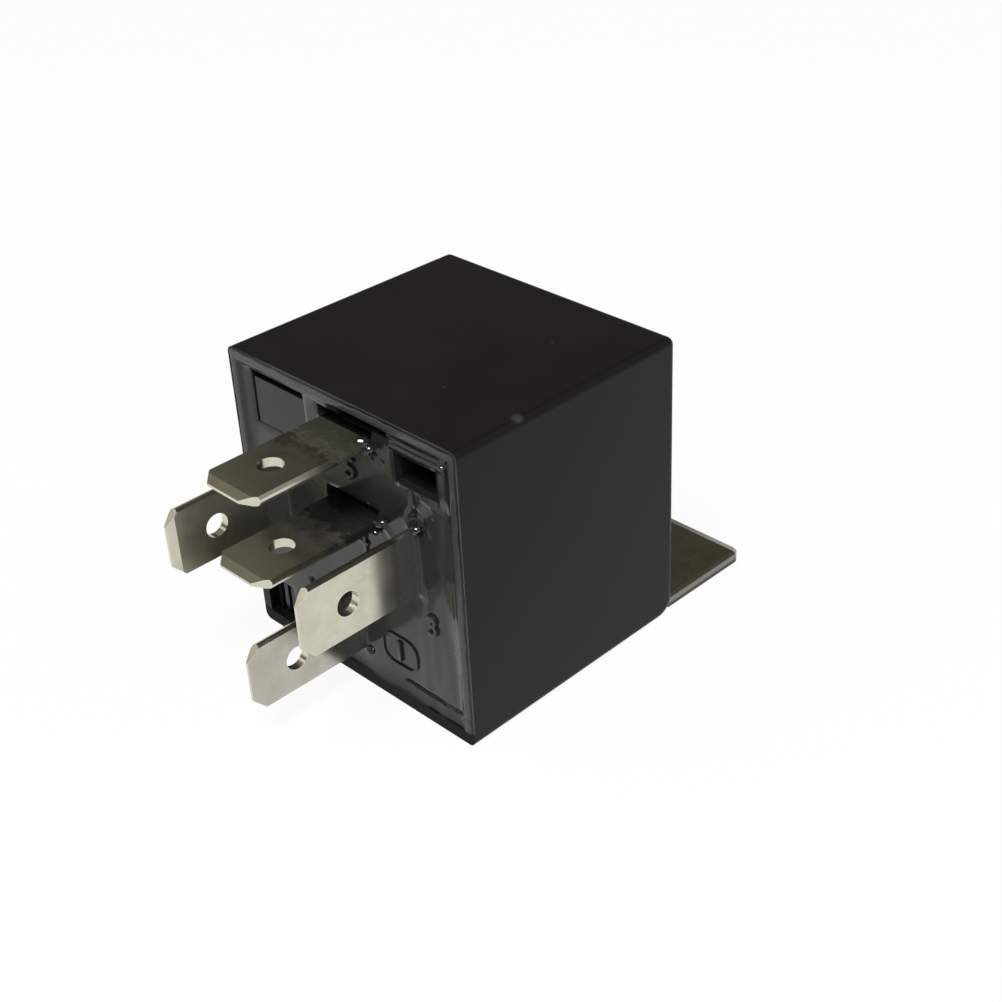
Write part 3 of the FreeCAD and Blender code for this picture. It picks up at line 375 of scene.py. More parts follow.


# the cover's open end: a painted highlight line on the edge, painted shade on the heel and the left corner,
# and one small scuff
def rimHighlightShadeAndScuff(tree, place, look, colour):
    mouth = axisBand(tree, place, "Y", *(rim + depth for depth in look["mouth"]))
    # painted highlight: a light line along the rim's outer edge, towards the right and towards the top
    line = bothMasks(tree, placeGroup(tree, edgeWearAndSheen, place, look["rimEdge"]), mouth)
    right = axisBand(tree, place, "X", *look["rimHighlightRight"])
    upper = axisBand(tree, place, "Z", *look["rimHighlightUpper"])
    line = bothMasks(tree, line, combine(tree, "MAXIMUM", right, upper))
    colour = blendColours(tree, line, colour, look["rimHighlight"])
    heel = bothMasks(tree, axisBand(tree, place, "Z", *look["heelBand"]), mouth)
    corner = bothMasks(tree, axisBand(tree, place, "X", *look["cornerBand"]), mouth)
    # painted shade on the heel and on the left corner of the rim
    for paintedShadeMask in (heel, corner):
        colour = blendColours(tree, paintedShadeMask, colour, look["heelShade"])
    gap = addNode(tree, "ShaderNodeVectorMath", {1: fromRim(*look["scuff"])}, operation="DISTANCE")
    tree.links.new(place, gap.inputs[0])
    size = look["scuffSize"] * mm
    near = mapRange(tree, gap.outputs["Value"], {"From Min": size, "From Max": size / 2})
    patch = placeGroup(tree, mottle, place, look["scuffPatch"])
    return blendColours(tree, bothMasks(tree, near, patch), colour, look["scuffColour"]), heel


def plasticFinish(name, look):
    material, tree, surface, place = startMaterial(name, {"IOR": look["ior"], "Metallic": 0.0})
    cloud = placeGroup(tree, mottle, place, {"Scale": look["cloudScale"], "Low": 0.3, "High": 0.75})
    detailMask = placeGroup(tree, edgeWearAndSheen, place, {"Width": look["edge"], "Gain": look["edgeGain"]})
    dust = placeGroup(tree, specks, place,
                      {"Scale": look["dustScale"], "Size": 0.11, "Chance": look["dustChance"]})
    colour = blendColours(tree, cloud, look["colour"], look["faded"])
    # painted shade: faces turned away from the top take a darker, bluer copy of the colour
    if "sideShadeColour" in look:
        side = blendColours(tree, cloud, look["sideShadeColour"], look["sideShadeFaded"])
        colour = blendColours(tree, facing(tree, (0, 0, 1), *look["sideShadeTurn"]), colour, side)
    # painted highlight along the edges, broken up like rubbed wear
    colour = blendColours(tree, detailMask, colour, look["rubbedAndSheen"])
    colour = blendColours(tree, dust, colour, look["dust"])
    roughness = spreadValue(tree, cloud, *look["rough"])
    if "rimHighlight" in look:
        colour, heel = rimHighlightShadeAndScuff(tree, place, look, colour)
        roughness = combine(tree, "MAXIMUM", roughness, spreadValue(tree, heel, 0.0, look["heelRough"]))
    tree.links.new(colour, surface.inputs["Base Color"])
    tree.links.new(roughness, surface.inputs["Roughness"])
    grain = placeGroup(tree, mouldGrain, place,
                       {"Fine": look["grain"], "Wave": 130.0, "WaveShare": look["wave"]})
    raiseSurface(tree, surface, grain, look["bump"], look["bumpDepth"])
    return material


# resin drawn up a blade from the base, with a ragged end; it also paints the shade and the reflection of the
# dark rim on the blade's root
def bladeFilmAndShade(tree, place, look, colour):
    start, soft = rim - look["filmReach"], look["filmSoft"]
    reach = axisBand(tree, place, "Y", start - soft, start + soft)
    ragged = placeGroup(tree, mottle, place, look["filmRagged"])
    reach = combine(tree, "ADD", reach, spreadValue(tree, ragged, -0.25, 0.25))
    edge = mapRange(tree, reach, {"From Min": 0.15, "From Max": 0.85})
    outside = axisBand(tree, place, "Y", *(rim + depth for depth in look["filmInner"]))
    film = bothMasks(tree, edge, outside)
    grit = placeGroup(tree, mottle, place, look["filmGrain"])
    coat = blendColours(tree, grit, look["film"], look["filmGrit"])
    metallic = mapRange(tree, film,
                        {"From Min": 0.5, "To Min": look["metallic"], "To Max": look["filmMetal"]})
    return blendColours(tree, film, colour, coat), metallic


def metalFinish(name, look):
    material, tree, surface, place = startMaterial(name, {"Metallic": 1.0})
    rolled = addNode(tree, "ShaderNodeMapping", {"Scale": look["rolled"]})
    tree.links.new(place, rolled.inputs["Vector"])
    cloud = placeGroup(tree, mottle, place, {"Scale": look["cloudScale"], "Low": 0.32, "High": 0.72})
    lines = placeGroup(tree, mottle, rolled.outputs["Vector"],
                       {"Scale": look["lineScale"], "Low": 0.25, "High": 0.8})
    detailMask = placeGroup(tree, edgeWearAndSheen, place, {"Width": look["edge"], "Gain": look["edgeGain"]})
    pits = placeGroup(tree, specks, place,
                      {"Scale": look["pitScale"], "Size": 0.16, "Chance": look["pitChance"]})
    colour = blendColours(tree, cloud, look["colour"], look["dull"])
    colour = blendColours(tree, spreadValue(tree, lines, 0.0, look["lineShare"]), colour, look["line"])
    # side faces take their own copy of the colour: painted light on the blades, painted shade on the bracket
    for start, end, side in look.get("sides", []):
        colour = blendColours(tree, facing(tree, look["flat"], start, end), colour, side)
    if "torn" in look:  # the lower part of a punched side is dull
        punched = facing(tree, look["flat"], *look["tornTurn"])
        low = bothMasks(tree, punched, axisBand(tree, place, "Z", *look["tornBand"]))
        colour = blendColours(tree, low, colour, look["torn"])
    # painted highlight along the edges, broken up like wear
    colour = blendColours(tree, detailMask, colour, look["bright"])
    colour = blendColours(tree, pits, colour, look["pit"])
    # painted shade and reflection near the blade root, together with the resin film
    if "film" in look:
        colour, metallic = bladeFilmAndShade(tree, place, look, colour)
        tree.links.new(metallic, surface.inputs["Metallic"])
    # painted highlight: the upper edge of the free end gets a pale, non-metal colour
    if "lip" in look:  # the upper edge of the free end, which catches light from all round
        endBand = axisBand(tree, place, "Y", *(tabEnd - depth for depth in look["lipReach"]))
        lip = bothMasks(tree, endBand, axisBand(tree, place, "Z", *look["lipBand"]))
        colour = blendColours(tree, lip, colour, look["lip"])
        tree.links.new(spreadValue(tree, lip, 1.0, 0.0), surface.inputs["Metallic"])
    tree.links.new(colour, surface.inputs["Base Color"])
    tree.links.new(spreadValue(tree, cloud, *look["rough"]), surface.inputs["Roughness"])
    relief = combine(tree, "ADD", lines, cloud)
    raiseSurface(tree, surface, relief, look["bump"], look["bumpDepth"])
    return material


coverLook = {
    "colour": (0.0158, 0.0143, 0.0128), "faded": (0.019, 0.0176, 0.016), "rubbedAndSheen": (0.05, 0.05, 0.048),
    "sideShadeColour": (0.0072, 0.0077, 0.0083), "sideShadeFaded": (0.0095, 0.01, 0.0106), "sideShadeTurn": (0.85, 0.35),
    "dust": (0.075, 0.074, 0.07), "cloudScale": 160.0, "dustScale": 900.0, "dustChance": 0.985,
    "edge": 0.00035, "edgeGain": 1.2, "rough": (0.34, 0.42), "grain": 5200.0, "wave": 0.25,
    "bump": 0.12, "bumpDepth": 0.00005, "ior": 1.24,
    "mouth": (0.12, 0.02), "rimEdge": {"Width": 0.0003, "Gain": 5.0},
    "rimHighlight": (0.17, 0.17, 0.168), "rimHighlightRight": (9.0, 13.0), "rimHighlightUpper": (20.0, 24.0),
    "heelShade": (0.004, 0.004, 0.004), "heelRough": 0.66, "heelBand": (1.5, 1.3), "cornerBand": (-9.0, -10.5),
    "scuff": (13.45, 7.1, 28.35), "scuffSize": 0.62, "scuffColour": (0.066, 0.064, 0.056),
    "scuffPatch": {"Scale": 1600.0, "Low": 0.1, "High": 0.45},
}
baseLook = {
    "colour": (0.01, 0.0115, 0.012), "faded": (0.016, 0.018, 0.0185), "rubbedAndSheen": (0.03, 0.03, 0.03),
    "dust": (0.06, 0.06, 0.06), "cloudScale": 260.0, "dustScale": 500.0, "dustChance": 0.97,
    "edge": 0.0002, "edgeGain": 1.0, "rough": (0.16, 0.24), "grain": 4200.0, "wave": 0.5,
    "bump": 0.1, "bumpDepth": 0.00004, "ior": 1.36,
}
bobbinLook = {
    "colour": (0.7, 0.67, 0.58), "faded": (0.62, 0.58, 0.48), "rubbedAndSheen": (0.8, 0.78, 0.7),
    "dust": (0.3, 0.28, 0.22), "cloudScale": 200.0, "dustScale": 700.0, "dustChance": 0.96,
    "edge": 0.0002, "edgeGain": 1.0, "rough": (0.4, 0.55), "grain": 5000.0, "wave": 0.3,
    "bump": 0.2, "bumpDepth": 0.00005, "ior": 1.45,
}
tinLook = {
    "colour": (0.62, 0.6, 0.5), "dull": (0.55, 0.53, 0.43), "line": (0.48, 0.46, 0.37),
    "bright": (0.95, 0.93, 0.82), "pit": (0.2, 0.19, 0.14),
    "rolled": (1.0, 0.12, 1.0), "cloudScale": 420.0, "lineScale": 2600.0, "lineShare": 0.16,
    "pitScale": 800.0, "pitChance": 0.985, "edge": 0.00016, "edgeGain": 3.0,
    "rough": (0.17, 0.25), "bump": 0.03, "bumpDepth": 0.00002,
    "flat": (0, 0, 1), "sides": [(0.9, 0.75, (0.64, 0.62, 0.5))], "metallic": 0.975,
    "film": (0.088, 0.091, 0.062), "filmGrit": (0.16, 0.158, 0.105), "filmReach": 3.6, "filmSoft": 2.2,
    "filmMetal": 0.28, "filmInner": (1.9, 1.6), "filmRagged": {"Scale": 1100.0, "Low": 0.2, "High": 0.8},
    "filmGrain": {"Scale": 2600.0, "Low": 0.52, "High": 0.72},
}
# painted shade: the middle blade's root is darker, and darker further up, than the other blades'
shadedMiddleTinLook = dict(tinLook, film=(0.031, 0.031, 0.025), filmGrit=(0.056, 0.056, 0.043),
                     filmReach=4.2, filmSoft=1.8, filmMetal=0.22)
uprightTinLook = dict(tinLook, flat=(1, 0, 0), film=(0.21, 0.21, 0.185), filmGrit=(0.26, 0.25, 0.22),
                      filmReach=2.2, filmSoft=0.8, filmMetal=0.7)
# painted shade: a darker copy of the upright tin for the common blade
shadedCommonTinLook = dict(uprightTinLook, colour=(0.49, 0.475, 0.41), dull=(0.43, 0.42, 0.36),
                     line=(0.38, 0.37, 0.31))
steelLook = {
    "colour": (0.42, 0.4, 0.31), "dull": (0.34, 0.32, 0.24), "line": (0.3, 0.28, 0.21),
    "bright": (0.6, 0.58, 0.52), "pit": (0.1, 0.09, 0.07),
    "rolled": (0.12, 1.0, 1.0), "cloudScale": 300.0, "lineScale": 2200.0, "lineShare": 0.25,
    "pitScale": 700.0, "pitChance": 0.97, "edge": 0.00016, "edgeGain": 2.0,
    "rough": (0.2, 0.32), "bump": 0.08, "bumpDepth": 0.00003,
}
bracketLook = dict(steelLook, colour=(0.8, 0.77, 0.545), dull=(0.69, 0.65, 0.465), line=(0.54, 0.5, 0.35),
                   flat=(0, 0, 1), sides=[(0.95, 0.85, (0.1, 0.096, 0.07)), (0.5, 0.3, (0.2, 0.195, 0.18))],
                   pitChance=0.995, edgeGain=0.0, bump=0.03,
                   lip=(0.5, 0.49, 0.44), lipReach=(0.8, 0.7), lipBand=(0.9, 0.96),
                   torn=(0.06, 0.058, 0.052), tornTurn=(0.5, 0.3), tornBand=(0.5, 0.3))
ironLook = dict(steelLook, colour=(0.52, 0.52, 0.51), dull=(0.42, 0.42, 0.41), line=(0.36, 0.36, 0.36),
                bright=(0.8, 0.8, 0.8), rough=(0.24, 0.4))
bronzeLook = dict(steelLook, colour=(0.7, 0.5, 0.27), dull=(0.6, 0.4, 0.2), line=(0.5, 0.33, 0.16),
                  bright=(0.9, 0.72, 0.45), rolled=(1.0, 0.1, 0.1))
rivetLook = dict(steelLook, colour=(0.56, 0.55, 0.53), dull=(0.46, 0.45, 0.43), line=(0.4, 0.39, 0.37),
                 bright=(0.85, 0.84, 0.82), rolled=(1.0, 1.0, 1.0))
silverLook = dict(steelLook, colour=(0.82, 0.82, 0.8), dull=(0.66, 0.65, 0.62), line=(0.55, 0.54, 0.5),
                  bright=(0.95, 0.95, 0.94), rolled=(1.0, 1.0, 1.0), rough=(0.18, 0.3))

coverPlastic = plasticFinish("coverPlastic", coverLook)
basePlastic = plasticFinish("basePlastic", baseLook)
bobbinPlastic = plasticFinish("bobbinPlastic", bobbinLook)
tinnedBrass = metalFinish("tinnedBrass", tinLook)
shadedMiddleTin = metalFinish("shadedMiddleTin", shadedMiddleTinLook)
uprightTin = metalFinish("uprightTin", uprightTinLook)
shadedCommonTin = metalFinish("shadedCommonTin", shadedCommonTinLook)
platedSteel = metalFinish("platedSteel", bracketLook)
platedIron = metalFinish("platedIron", ironLook)
springBronze = metalFinish("springBronze", bronzeLook)
rivetMetal = metalFinish("rivetMetal", rivetLook)
contactSilver = metalFinish("contactSilver", silverLook)

resinLook = {
    "colour": (0.0225, 0.0252, 0.022), "cloudy": (0.027, 0.03, 0.0285), "milk": (0.045, 0.05, 0.05),
    "dots": (0.11, 0.115, 0.11), "creaseShade": (0.003, 0.003, 0.003),
    "rough": (0.14, 0.24), "bump": 0.25, "bumpDepth": 0.0001, "ior": 1.4,
    "lighterBands": [("Z", 9.0, 3.5, (0.0275, 0.0305, 0.03)),
             ("Z", 27.2, 27.8, (0.07, 0.07, 0.069)), ("X", 13.0, 13.5, (0.035, 0.037, 0.036))],
    "creaseShades": [(2.4, 2.6, 5.4), (1.15, 1.4, 8.0)], "creaseShadeSoft": (0.04, 0.6),
}


def resinFinish(name, look):
    material, tree, surface, place = startMaterial(name, {"IOR": look["ior"], "Metallic": 0.0})
    cloud = placeGroup(tree, mottle, place, {"Scale": 190.0, "Low": 0.3, "High": 0.75})
    haze = placeGroup(tree, mottle, place, {"Scale": 620.0, "Low": 0.58, "High": 0.8})
    dots = placeGroup(tree, specks, place, {"Scale": 760.0, "Size": 0.13, "Chance": 0.93})
    colour = blendColours(tree, cloud, look["colour"], look["cloudy"])
    colour = blendColours(tree, spreadValue(tree, haze, 0.0, 0.5), colour, look["milk"])
    colour = blendColours(tree, dots, colour, look["dots"])
    # painted sheen on the meniscus along the top and right walls, and a lighter tone towards the bottom
    for axis, start, end, tone in look["lighterBands"]:
        colour = blendColours(tree, axisBand(tree, place, axis, start, end), colour, tone)
    # painted shade: dark lines in the groove low on the face and along the foot of the bottom wall
    softUp, softAcross = look["creaseShadeSoft"]
    for low, high, start in look["creaseShades"]:
        above = axisBand(tree, place, "Z", low, low + softUp)
        below = axisBand(tree, place, "Z", high, high - softUp)
        across = axisBand(tree, place, "X", start, start + softAcross)
        creaseShade = bothMasks(tree, bothMasks(tree, above, below), across)
        colour = blendColours(tree, creaseShade, colour, look["creaseShade"])
    tree.links.new(colour, surface.inputs["Base Color"])
    tree.links.new(spreadValue(tree, haze, *look["rough"]), surface.inputs["Roughness"])
    ripple = placeGroup(tree, mouldGrain, place, {"Fine": 900.0, "Wave": 240.0, "WaveShare": 0.75})
    raiseSurface(tree, surface, ripple, look["bump"], look["bumpDepth"])
    return material


windingLook = {
    "waves": {"Scale": 1400.0, "Distortion": 0.6, "Detail": 1.0}, "run": "Y",
    "groove": (0.3, 0.1, 0.045), "crownHighlight": (0.72, 0.32, 0.15), "stain": (0.45, 0.17, 0.08), "stainShare": 0.4,
    "rough": (0.22, 0.36), "coat": 0.6, "bump": 0.6, "bumpDepth": 0.00006,
}
braidLook = {
    "waves": {"Scale": 1500.0, "Distortion": 1.5, "Detail": 2.0}, "run": "DIAGONAL",
    "groove": (0.28, 0.11, 0.06), "crownHighlight": (0.78, 0.42, 0.25),
    "rough": (0.45, 0.3), "coat": 0.0, "bump": 0.8, "bumpDepth": 0.0001,
}


# copper whose turns or strands are painted as bands of light and shade: painted shade in the grooves, a
# painted highlight on the crowns
def wireFinish(name, look):
    material, tree, surface, place = startMaterial(name, {"Metallic": 1.0, "Coat Weight": look["coat"]})
    turns = addNode(tree, "ShaderNodeTexWave", look["waves"], wave_type="BANDS", bands_direction=look["run"])
    tree.links.new(place, turns.inputs["Vector"])
    colour = blendColours(tree, turns.outputs["Fac"], look["groove"], look["crownHighlight"])
    detailMask = turns.outputs["Fac"]
    if "stain" in look:
        detailMask = placeGroup(tree, mottle, place, {"Scale": 350.0, "Low": 0.3, "High": 0.75})
        colour = blendColours(tree, spreadValue(tree, detailMask, 0.0, look["stainShare"]), colour, look["stain"])
    tree.links.new(colour, surface.inputs["Base Color"])
    tree.links.new(spreadValue(tree, detailMask, *look["rough"]), surface.inputs["Roughness"])
    raiseSurface(tree, surface, turns.outputs["Fac"], look["bump"], look["bumpDepth"])
    return material


castResin = resinFinish("castResin", resinLook)
clearResin = resinFinish("clearResin", dict(resinLook, rough=(0.05, 0.09), bump=0.03, ior=1.7))
copperWinding = wireFinish("copperWinding", windingLook)
copperBraid = wireFinish("copperBraid", braidLook)

finishes = {
    "cover": coverPlastic, "base": basePlastic, "potting": castResin, "bracket": platedSteel,
    "terminal_normally_open": tinnedBrass, "terminal_normally_closed": shadedMiddleTin,
    "terminal_common": shadedCommonTin, "terminal_coil_left": uprightTin, "terminal_coil_right": uprightTin,
    "yoke": platedIron, "core": platedIron, "armature": platedIron, "bobbin": bobbinPlastic,
    "coil_winding": copperWinding, "coil_leads": copperWinding, "braid": copperBraid,
    "contact_spring": springBronze, "armature_rivets": rivetMetal, "yoke_rivets": rivetMetal,
    "contact_normally_open": contactSilver, "contact_normally_closed": contactSilver,
    "moving_contact": contactSilver,
}


def giveFinish(piece, material):
    piece.data.materials.clear()
    piece.data.materials.append(material)


for nodeName, nodeFinish in finishes.items():
    giveFinish(nodes[nodeName], nodeFinish)
print("finishes given to", len(finishes), "nodes")


# cast resin round the blades, in mm from the rim and across the face

resin = {
    "face": 0.35, "back": 1.2, "cell": 0.12,
    "inner": (-13.0, 13.0, 1.2, 27.4), "film": (-13.8, 13.78, 1.22, 28.18),  # left, right, low, high
    "blades": [(-2.55, 3.75, 24.8, 25.6), (-2.55, 3.75, 17.2, 18.0), (-0.2, 0.6, 3.6, 9.9),
               (-9.2, -8.4, 12.95, 19.25), (7.7, 8.5, 12.95, 19.25)],
    "openings": [(-2.85, 3.75, 25.6, 26.6), (-2.85, 3.75, 18.0, 19.0), (6.2, 11.1, 22.75, 25.5),
                 (-11.53, -4.73, 21.7, 26.85), (-0.1, 5.6, 26.4, 27.4), (-14.2, -9.85, 1.0, 4.85)],
    "bladeRise": 0.27, "bladeReach": 0.34, "wallReach": 0.45, "proud": 0.035, "filmEdge": 0.16,
    "edgeFall": 0.12, "edgeReach": 0.22, "step": 0.12, "under": 0.03,
    # noise: height, pitch across, pitch upward and layer, and where the runs fade in
    "swell": (0.09, 0.17, 0.13, 3.1), "runs": (0.1, 0.9, 0.13, 8.4),
    "runsRight": (6.0, 10.0), "runsBelow": (22.5, 20.5), "hollowReach": 1.6,
    "uneven": (0.35, 0.35, 0.35, 1.7), "ragged": (0.12, 0.8, 0.8, 5.2),
    "ridges": [((5.8, 25.95), (11.9, 25.95), 0.07, 0.18), ((5.9, 26.55), (12.3, 26.55), 0.08, 0.18),
               ((4.2, 25.2), (4.9, 24.3), 0.16, 0.2), ((9.2, 22.5), (11.8, 21.9), 0.1, 0.2),
               ((3.9, 18.4), (5.4, 17.0), 0.12, 0.35), ((9.3, 20.6), (9.9, 19.2), 0.14, 0.2),
               ((12.4, 20.5), (12.5, 7.0), 0.08, 0.25)],
    "grooves": [((5.4, 2.5), (12.8, 2.5), 0.32, 0.13), ((8.1, 22.3), (8.2, 20.8), 0.16, 0.3),
                ((-12.6, 27.0), (-12.7, 5.0), 0.05, 0.2)],
    "hollows": [(8.5, 19.9, 0.95, 0.6), (4.2, 24.0, 0.7, 0.12), (-6.5, 7.4, 0.32, 0.5),
                (0.95, 3.55, 0.4, 0.7)],
}


def boxDistance(x, z, box):
    across = max(box[0] - x, 0, x - box[1])
    along = max(box[2] - z, 0, z - box[3])
    return math.hypot(across, along)


def lineDistance(x, z, start, end):
    run = Vector(end) - Vector(start)
    spot = Vector((x, z)) - Vector(start)
    share = min(1, max(0, spot.dot(run) / run.length_squared))
    return (spot - run * share).length


def fadeIn(value, start, end):
    return min(1, max(0, (value - start) / (end - start)))


def noiseLevel(x, z, wave):
    height, across, upward, layer = wave
    return height * noise.noise(Vector((x * across, z * upward, layer)))


# the height of the resin over its face, in mm
def resinLevel(x, z, values):
    level = noiseLevel(x, z, values["swell"])
    side = fadeIn(x, *values["runsRight"]) * fadeIn(z, *values["runsBelow"])
    level += side * noiseLevel(x, z, values["runs"])
    for blade in values["blades"]:
        level += values["bladeRise"] * math.exp(-boxDistance(x, z, blade) / values["bladeReach"])
    for opening in values["openings"]:
        level -= values["edgeFall"] * math.exp(-boxDistance(x, z, opening) / values["edgeReach"])
    for sign, lines in ((1, values["ridges"]), (-1, values["grooves"])):
        for start, end, height, reach in lines:
            level += sign * height * math.exp(-(lineDistance(x, z, start, end) / reach) ** 2)
    for middleX, middleZ, radius, depth in values["hollows"]:
        gap = math.hypot(x - middleX, z - middleZ) / radius
        if gap < values["hollowReach"]:
            level -= depth * math.exp(-gap ** 4)
    level = min(level, values["face"] - values["under"])

    # up the walls of the cover, and out over its rim as a thin film
    full = values["face"] + values["proud"]
    left, right, low, high = values["inner"]
    wall = min(x - left, right - x, z - low, high - z)
    climb = math.exp(-max(wall, 0) / (values["wallReach"] * (1 + noiseLevel(x, z, values["uneven"]))))
    level += (full - level) * climb
    left, right, low, high = values["film"]
    outer = min(x - left, right - x, high - z) + noiseLevel(x, z, values["ragged"])
    if outer < values["filmEdge"]:
        level = full - values["step"] * (1 - math.sqrt(max(0, outer) / values["filmEdge"]))
    return level


# beads of resin beside the blades: place and size in mm, and whether the bead is flat towards the light
beads = [
    ((3.3, -0.35, 25.6), (0.72, 0.5, 0.2), True), ((12.45, -0.05, 26.7), (0.26, 0.2, 0.08), True),
    ((4.2, -0.25, 25.25), (0.4, 0.36, 0.14), True), ((3.95, -0.3, 25.0), (0.3, 0.3, 0.5), False),
    ((4.95, -0.25, 18.65), (0.4, 0.26, 0.12), True), ((4.2, -0.2, 18.2), (0.6, 0.3, 0.3), False),
    ((3.8, -0.2, 17.15), (0.34, 0.3, 0.12), True), ((9.0, -0.2, 19.7), (0.4, 0.3, 0.14), True),
    ((8.6, -0.1, 19.4), (0.4, 0.34, 0.45), False),
]
beadLight = Vector((0.5, -0.5, 0.71))  # halfway between the camera and the key lamp
beadLump, beadPitch = 0.12, 1200  # share of the bead's size, and per metre


def makeBeads(values):
    parts = []
    for place, size, flat in values:
        middle = fromRim(*place)
        deselectAll()
        bpy.ops.mesh.primitive_uv_sphere_add(segments=28, ring_count=18, radius=mm, location=middle)
        bead = bpy.context.active_object
        bead.scale = size
        if flat:
            bead.rotation_euler = beadLight.to_track_quat("Z", "Y").to_euler()
        settle(bead)
        for vertex in bead.data.vertices:
            vertex.co += (vertex.co - middle) * beadLump * noise.noise(vertex.co * beadPitch)
        parts.append(bead)
    drops = joined(parts, "resinBeads")
    giveFinish(drops, clearResin)
    pickOnly(drops)
    bpy.ops.object.shade_smooth()
    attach(drops, "housing")


def makeResin(values):
    left, right, low, high = values["film"]
    wide, tall = right - left, high - low
    deselectAll()
    bpy.ops.mesh.primitive_grid_add(
        x_subdivisions=round(wide / values["cell"]), y_subdivisions=round(tall / values["cell"]), size=mm,
        location=fromRim(left + wide / 2, values["face"], low + tall / 2), rotation=(math.pi / 2, 0, 0))
    fill = bpy.context.active_object
    fill.name = "resinFill"
    fill.scale = (wide, tall, 1)
    settle(fill)
    bpy.ops.object.mode_set(mode="EDIT")
    bpy.ops.mesh.select_all(action="SELECT")
    depth = (values["back"] - values["face"]) * mm
    bpy.ops.mesh.extrude_region_move(TRANSFORM_OT_translate={"value": (0, depth, 0)})
    bpy.ops.object.mode_set(mode="OBJECT")
    backFace = (values["back"] + rim) * mm - hair
    pickFaces(fill, lambda face: all(v.co.y > backFace for v in face.verts))
    bpy.ops.mesh.dissolve_faces()
    bpy.ops.mesh.select_all(action="SELECT")
    bpy.ops.mesh.normals_make_consistent(inside=False)
    bpy.ops.object.mode_set(mode="OBJECT")
    frontFace = (values["face"] + rim) * mm + hair
    for vertex in fill.data.vertices:
        if vertex.co.y < frontFace:
            vertex.co.y -= resinLevel(vertex.co.x / mm, vertex.co.z / mm, values) * mm
    cutters = [blockAt(left, right, -1.0, 2.0, low, high) for left, right, low, high in values["openings"]]
    for cutter in cutters:
        pickOnly(fill)
        cut = fill.modifiers.new("opening", "BOOLEAN")
        cut.operation = "DIFFERENCE"
        cut.solver = "EXACT"
        cut.object = cutter
        bpy.ops.object.modifier_apply(modifier=cut.name)
        bpy.data.objects.remove(cutter)
    pickOnly(fill)
    bpy.ops.object.shade_smooth_by_angle(angle=math.radians(40))
    giveFinish(fill, castResin)
    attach(fill, "housing")
    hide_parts("potting")


makeResin(resin)
makeBeads(beads)
print("resin cast")


# moulded numerals, one for each blade

numerals = {
    "height": 2.1, "proud": 0.2, "sunk": 0.2, "bevel": 0.04,
    "places": [("1", 4.95, 5.3), ("2", -6.6, 20.6), ("3", 9.5, 10.1), ("4", 1.5, 15.2), ("5", 0.8, 21.8)],
    "textScale": 1.4,  # text size over the height of a numeral
}
ringSize = {"middle": (4.95, 5.3), "wide": 4.4, "tall": 3.2, "line": 0.16, "proud": 0.16, "corner": 1.3}


def makeNumeral(values, text, x, z):
    deselectAll()
    bpy.ops.object.text_add()
    word = bpy.context.active_object
    word.data.body = text
    word.data.align_x = "CENTER"
    word.data.align_y = "CENTER"
    word.data.size = values["height"] * values["textScale"] * mm
    word.data.extrude = (values["proud"] + values["sunk"]) * mm / 2
    word.data.bevel_depth = values["bevel"] * mm
    word.data.bevel_resolution = 1
    word.data.resolution_u = 6
    bpy.ops.object.convert(target="MESH")
    word = bpy.context.active_object
    word.rotation_euler = (math.pi / 2, 0, 0)
    word.location = fromRim(x, resin["face"] + (values["sunk"] - values["proud"]) / 2, z)
    settle(word)
    closeUp(word)
    return word


def makeRing(values, sunk):
    (x, z), wide, tall = values["middle"], values["wide"], values["tall"]
    ring = blockAt(x - wide / 2, x + wide / 2, resin["face"] - values["proud"], resin["face"] + sunk,
                   z - tall / 2, z + tall / 2)
    pickOnly(ring)
    bpy.ops.object.mode_set(mode="EDIT")
    bpy.ops.mesh.select_mode(type="EDGE")
    bpy.ops.mesh.select_all(action="DESELECT")
    shape = bmesh.from_edit_mesh(ring.data)
    for edge in shape.edges:  # the four that run into the face
        edge.select = abs(edge.verts[0].co.y - edge.verts[1].co.y) > 0.1 * mm
    bmesh.update_edit_mesh(ring.data)
    bpy.ops.mesh.bevel(offset=values["corner"] * mm, segments=8, affect="EDGES")
    bpy.ops.object.mode_set(mode="OBJECT")
    pickFaces(ring, lambda face: abs(face.normal.y) > 0.9)
    bpy.ops.mesh.inset(thickness=values["line"] * mm)
    shape = bmesh.from_edit_mesh(ring.data)
    caps = sorted(shape.faces, key=lambda face: face.calc_area())[-2:]
    for face in shape.faces:
        face.select = face in caps
    bmesh.update_edit_mesh(ring.data)
    bpy.ops.mesh.bridge_edge_loops()
    bpy.ops.object.mode_set(mode="OBJECT")
    closeUp(ring)
    return ring


def makeNumerals(values):
    parts = [makeNumeral(values, text, x, z) for text, x, z in values["places"]]
    parts.append(makeRing(ringSize, values["sunk"]))
    marks = joined(parts, "faceNumerals")
    giveFinish(marks, castResin)
    pickOnly(marks)
    bpy.ops.object.shade_smooth_by_angle(angle=math.radians(35))
    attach(marks, "housing")


makeNumerals(numerals)
print("numerals made")


# copies of the spring and the braid, given their finishes, in place of the nodes

bending = [
    ("springLeaf", "contact_spring", "spring_bronze", springBronze, (-0.35, 5.5, 1.6), (-0.35, 7.0, 3.4)),
    ("braidStrip", "braid", "copper_wire", copperBraid, (-4.7, -5.0, 9.8), (-4.7, 8.0, 9.8)),
]


def makeBending(values):
    for label, node, slotName, material, start, end in values:
        strip = copyOfNode(node, label)
        giveFinish(strip, material)
        pickOnly(strip)
        bpy.ops.object.shade_smooth_by_angle(angle=math.radians(30))
        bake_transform(strip)
        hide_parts(node)


makeBending(bending)
print("spring and braid made")


# floor, lights and world, in metres and watts

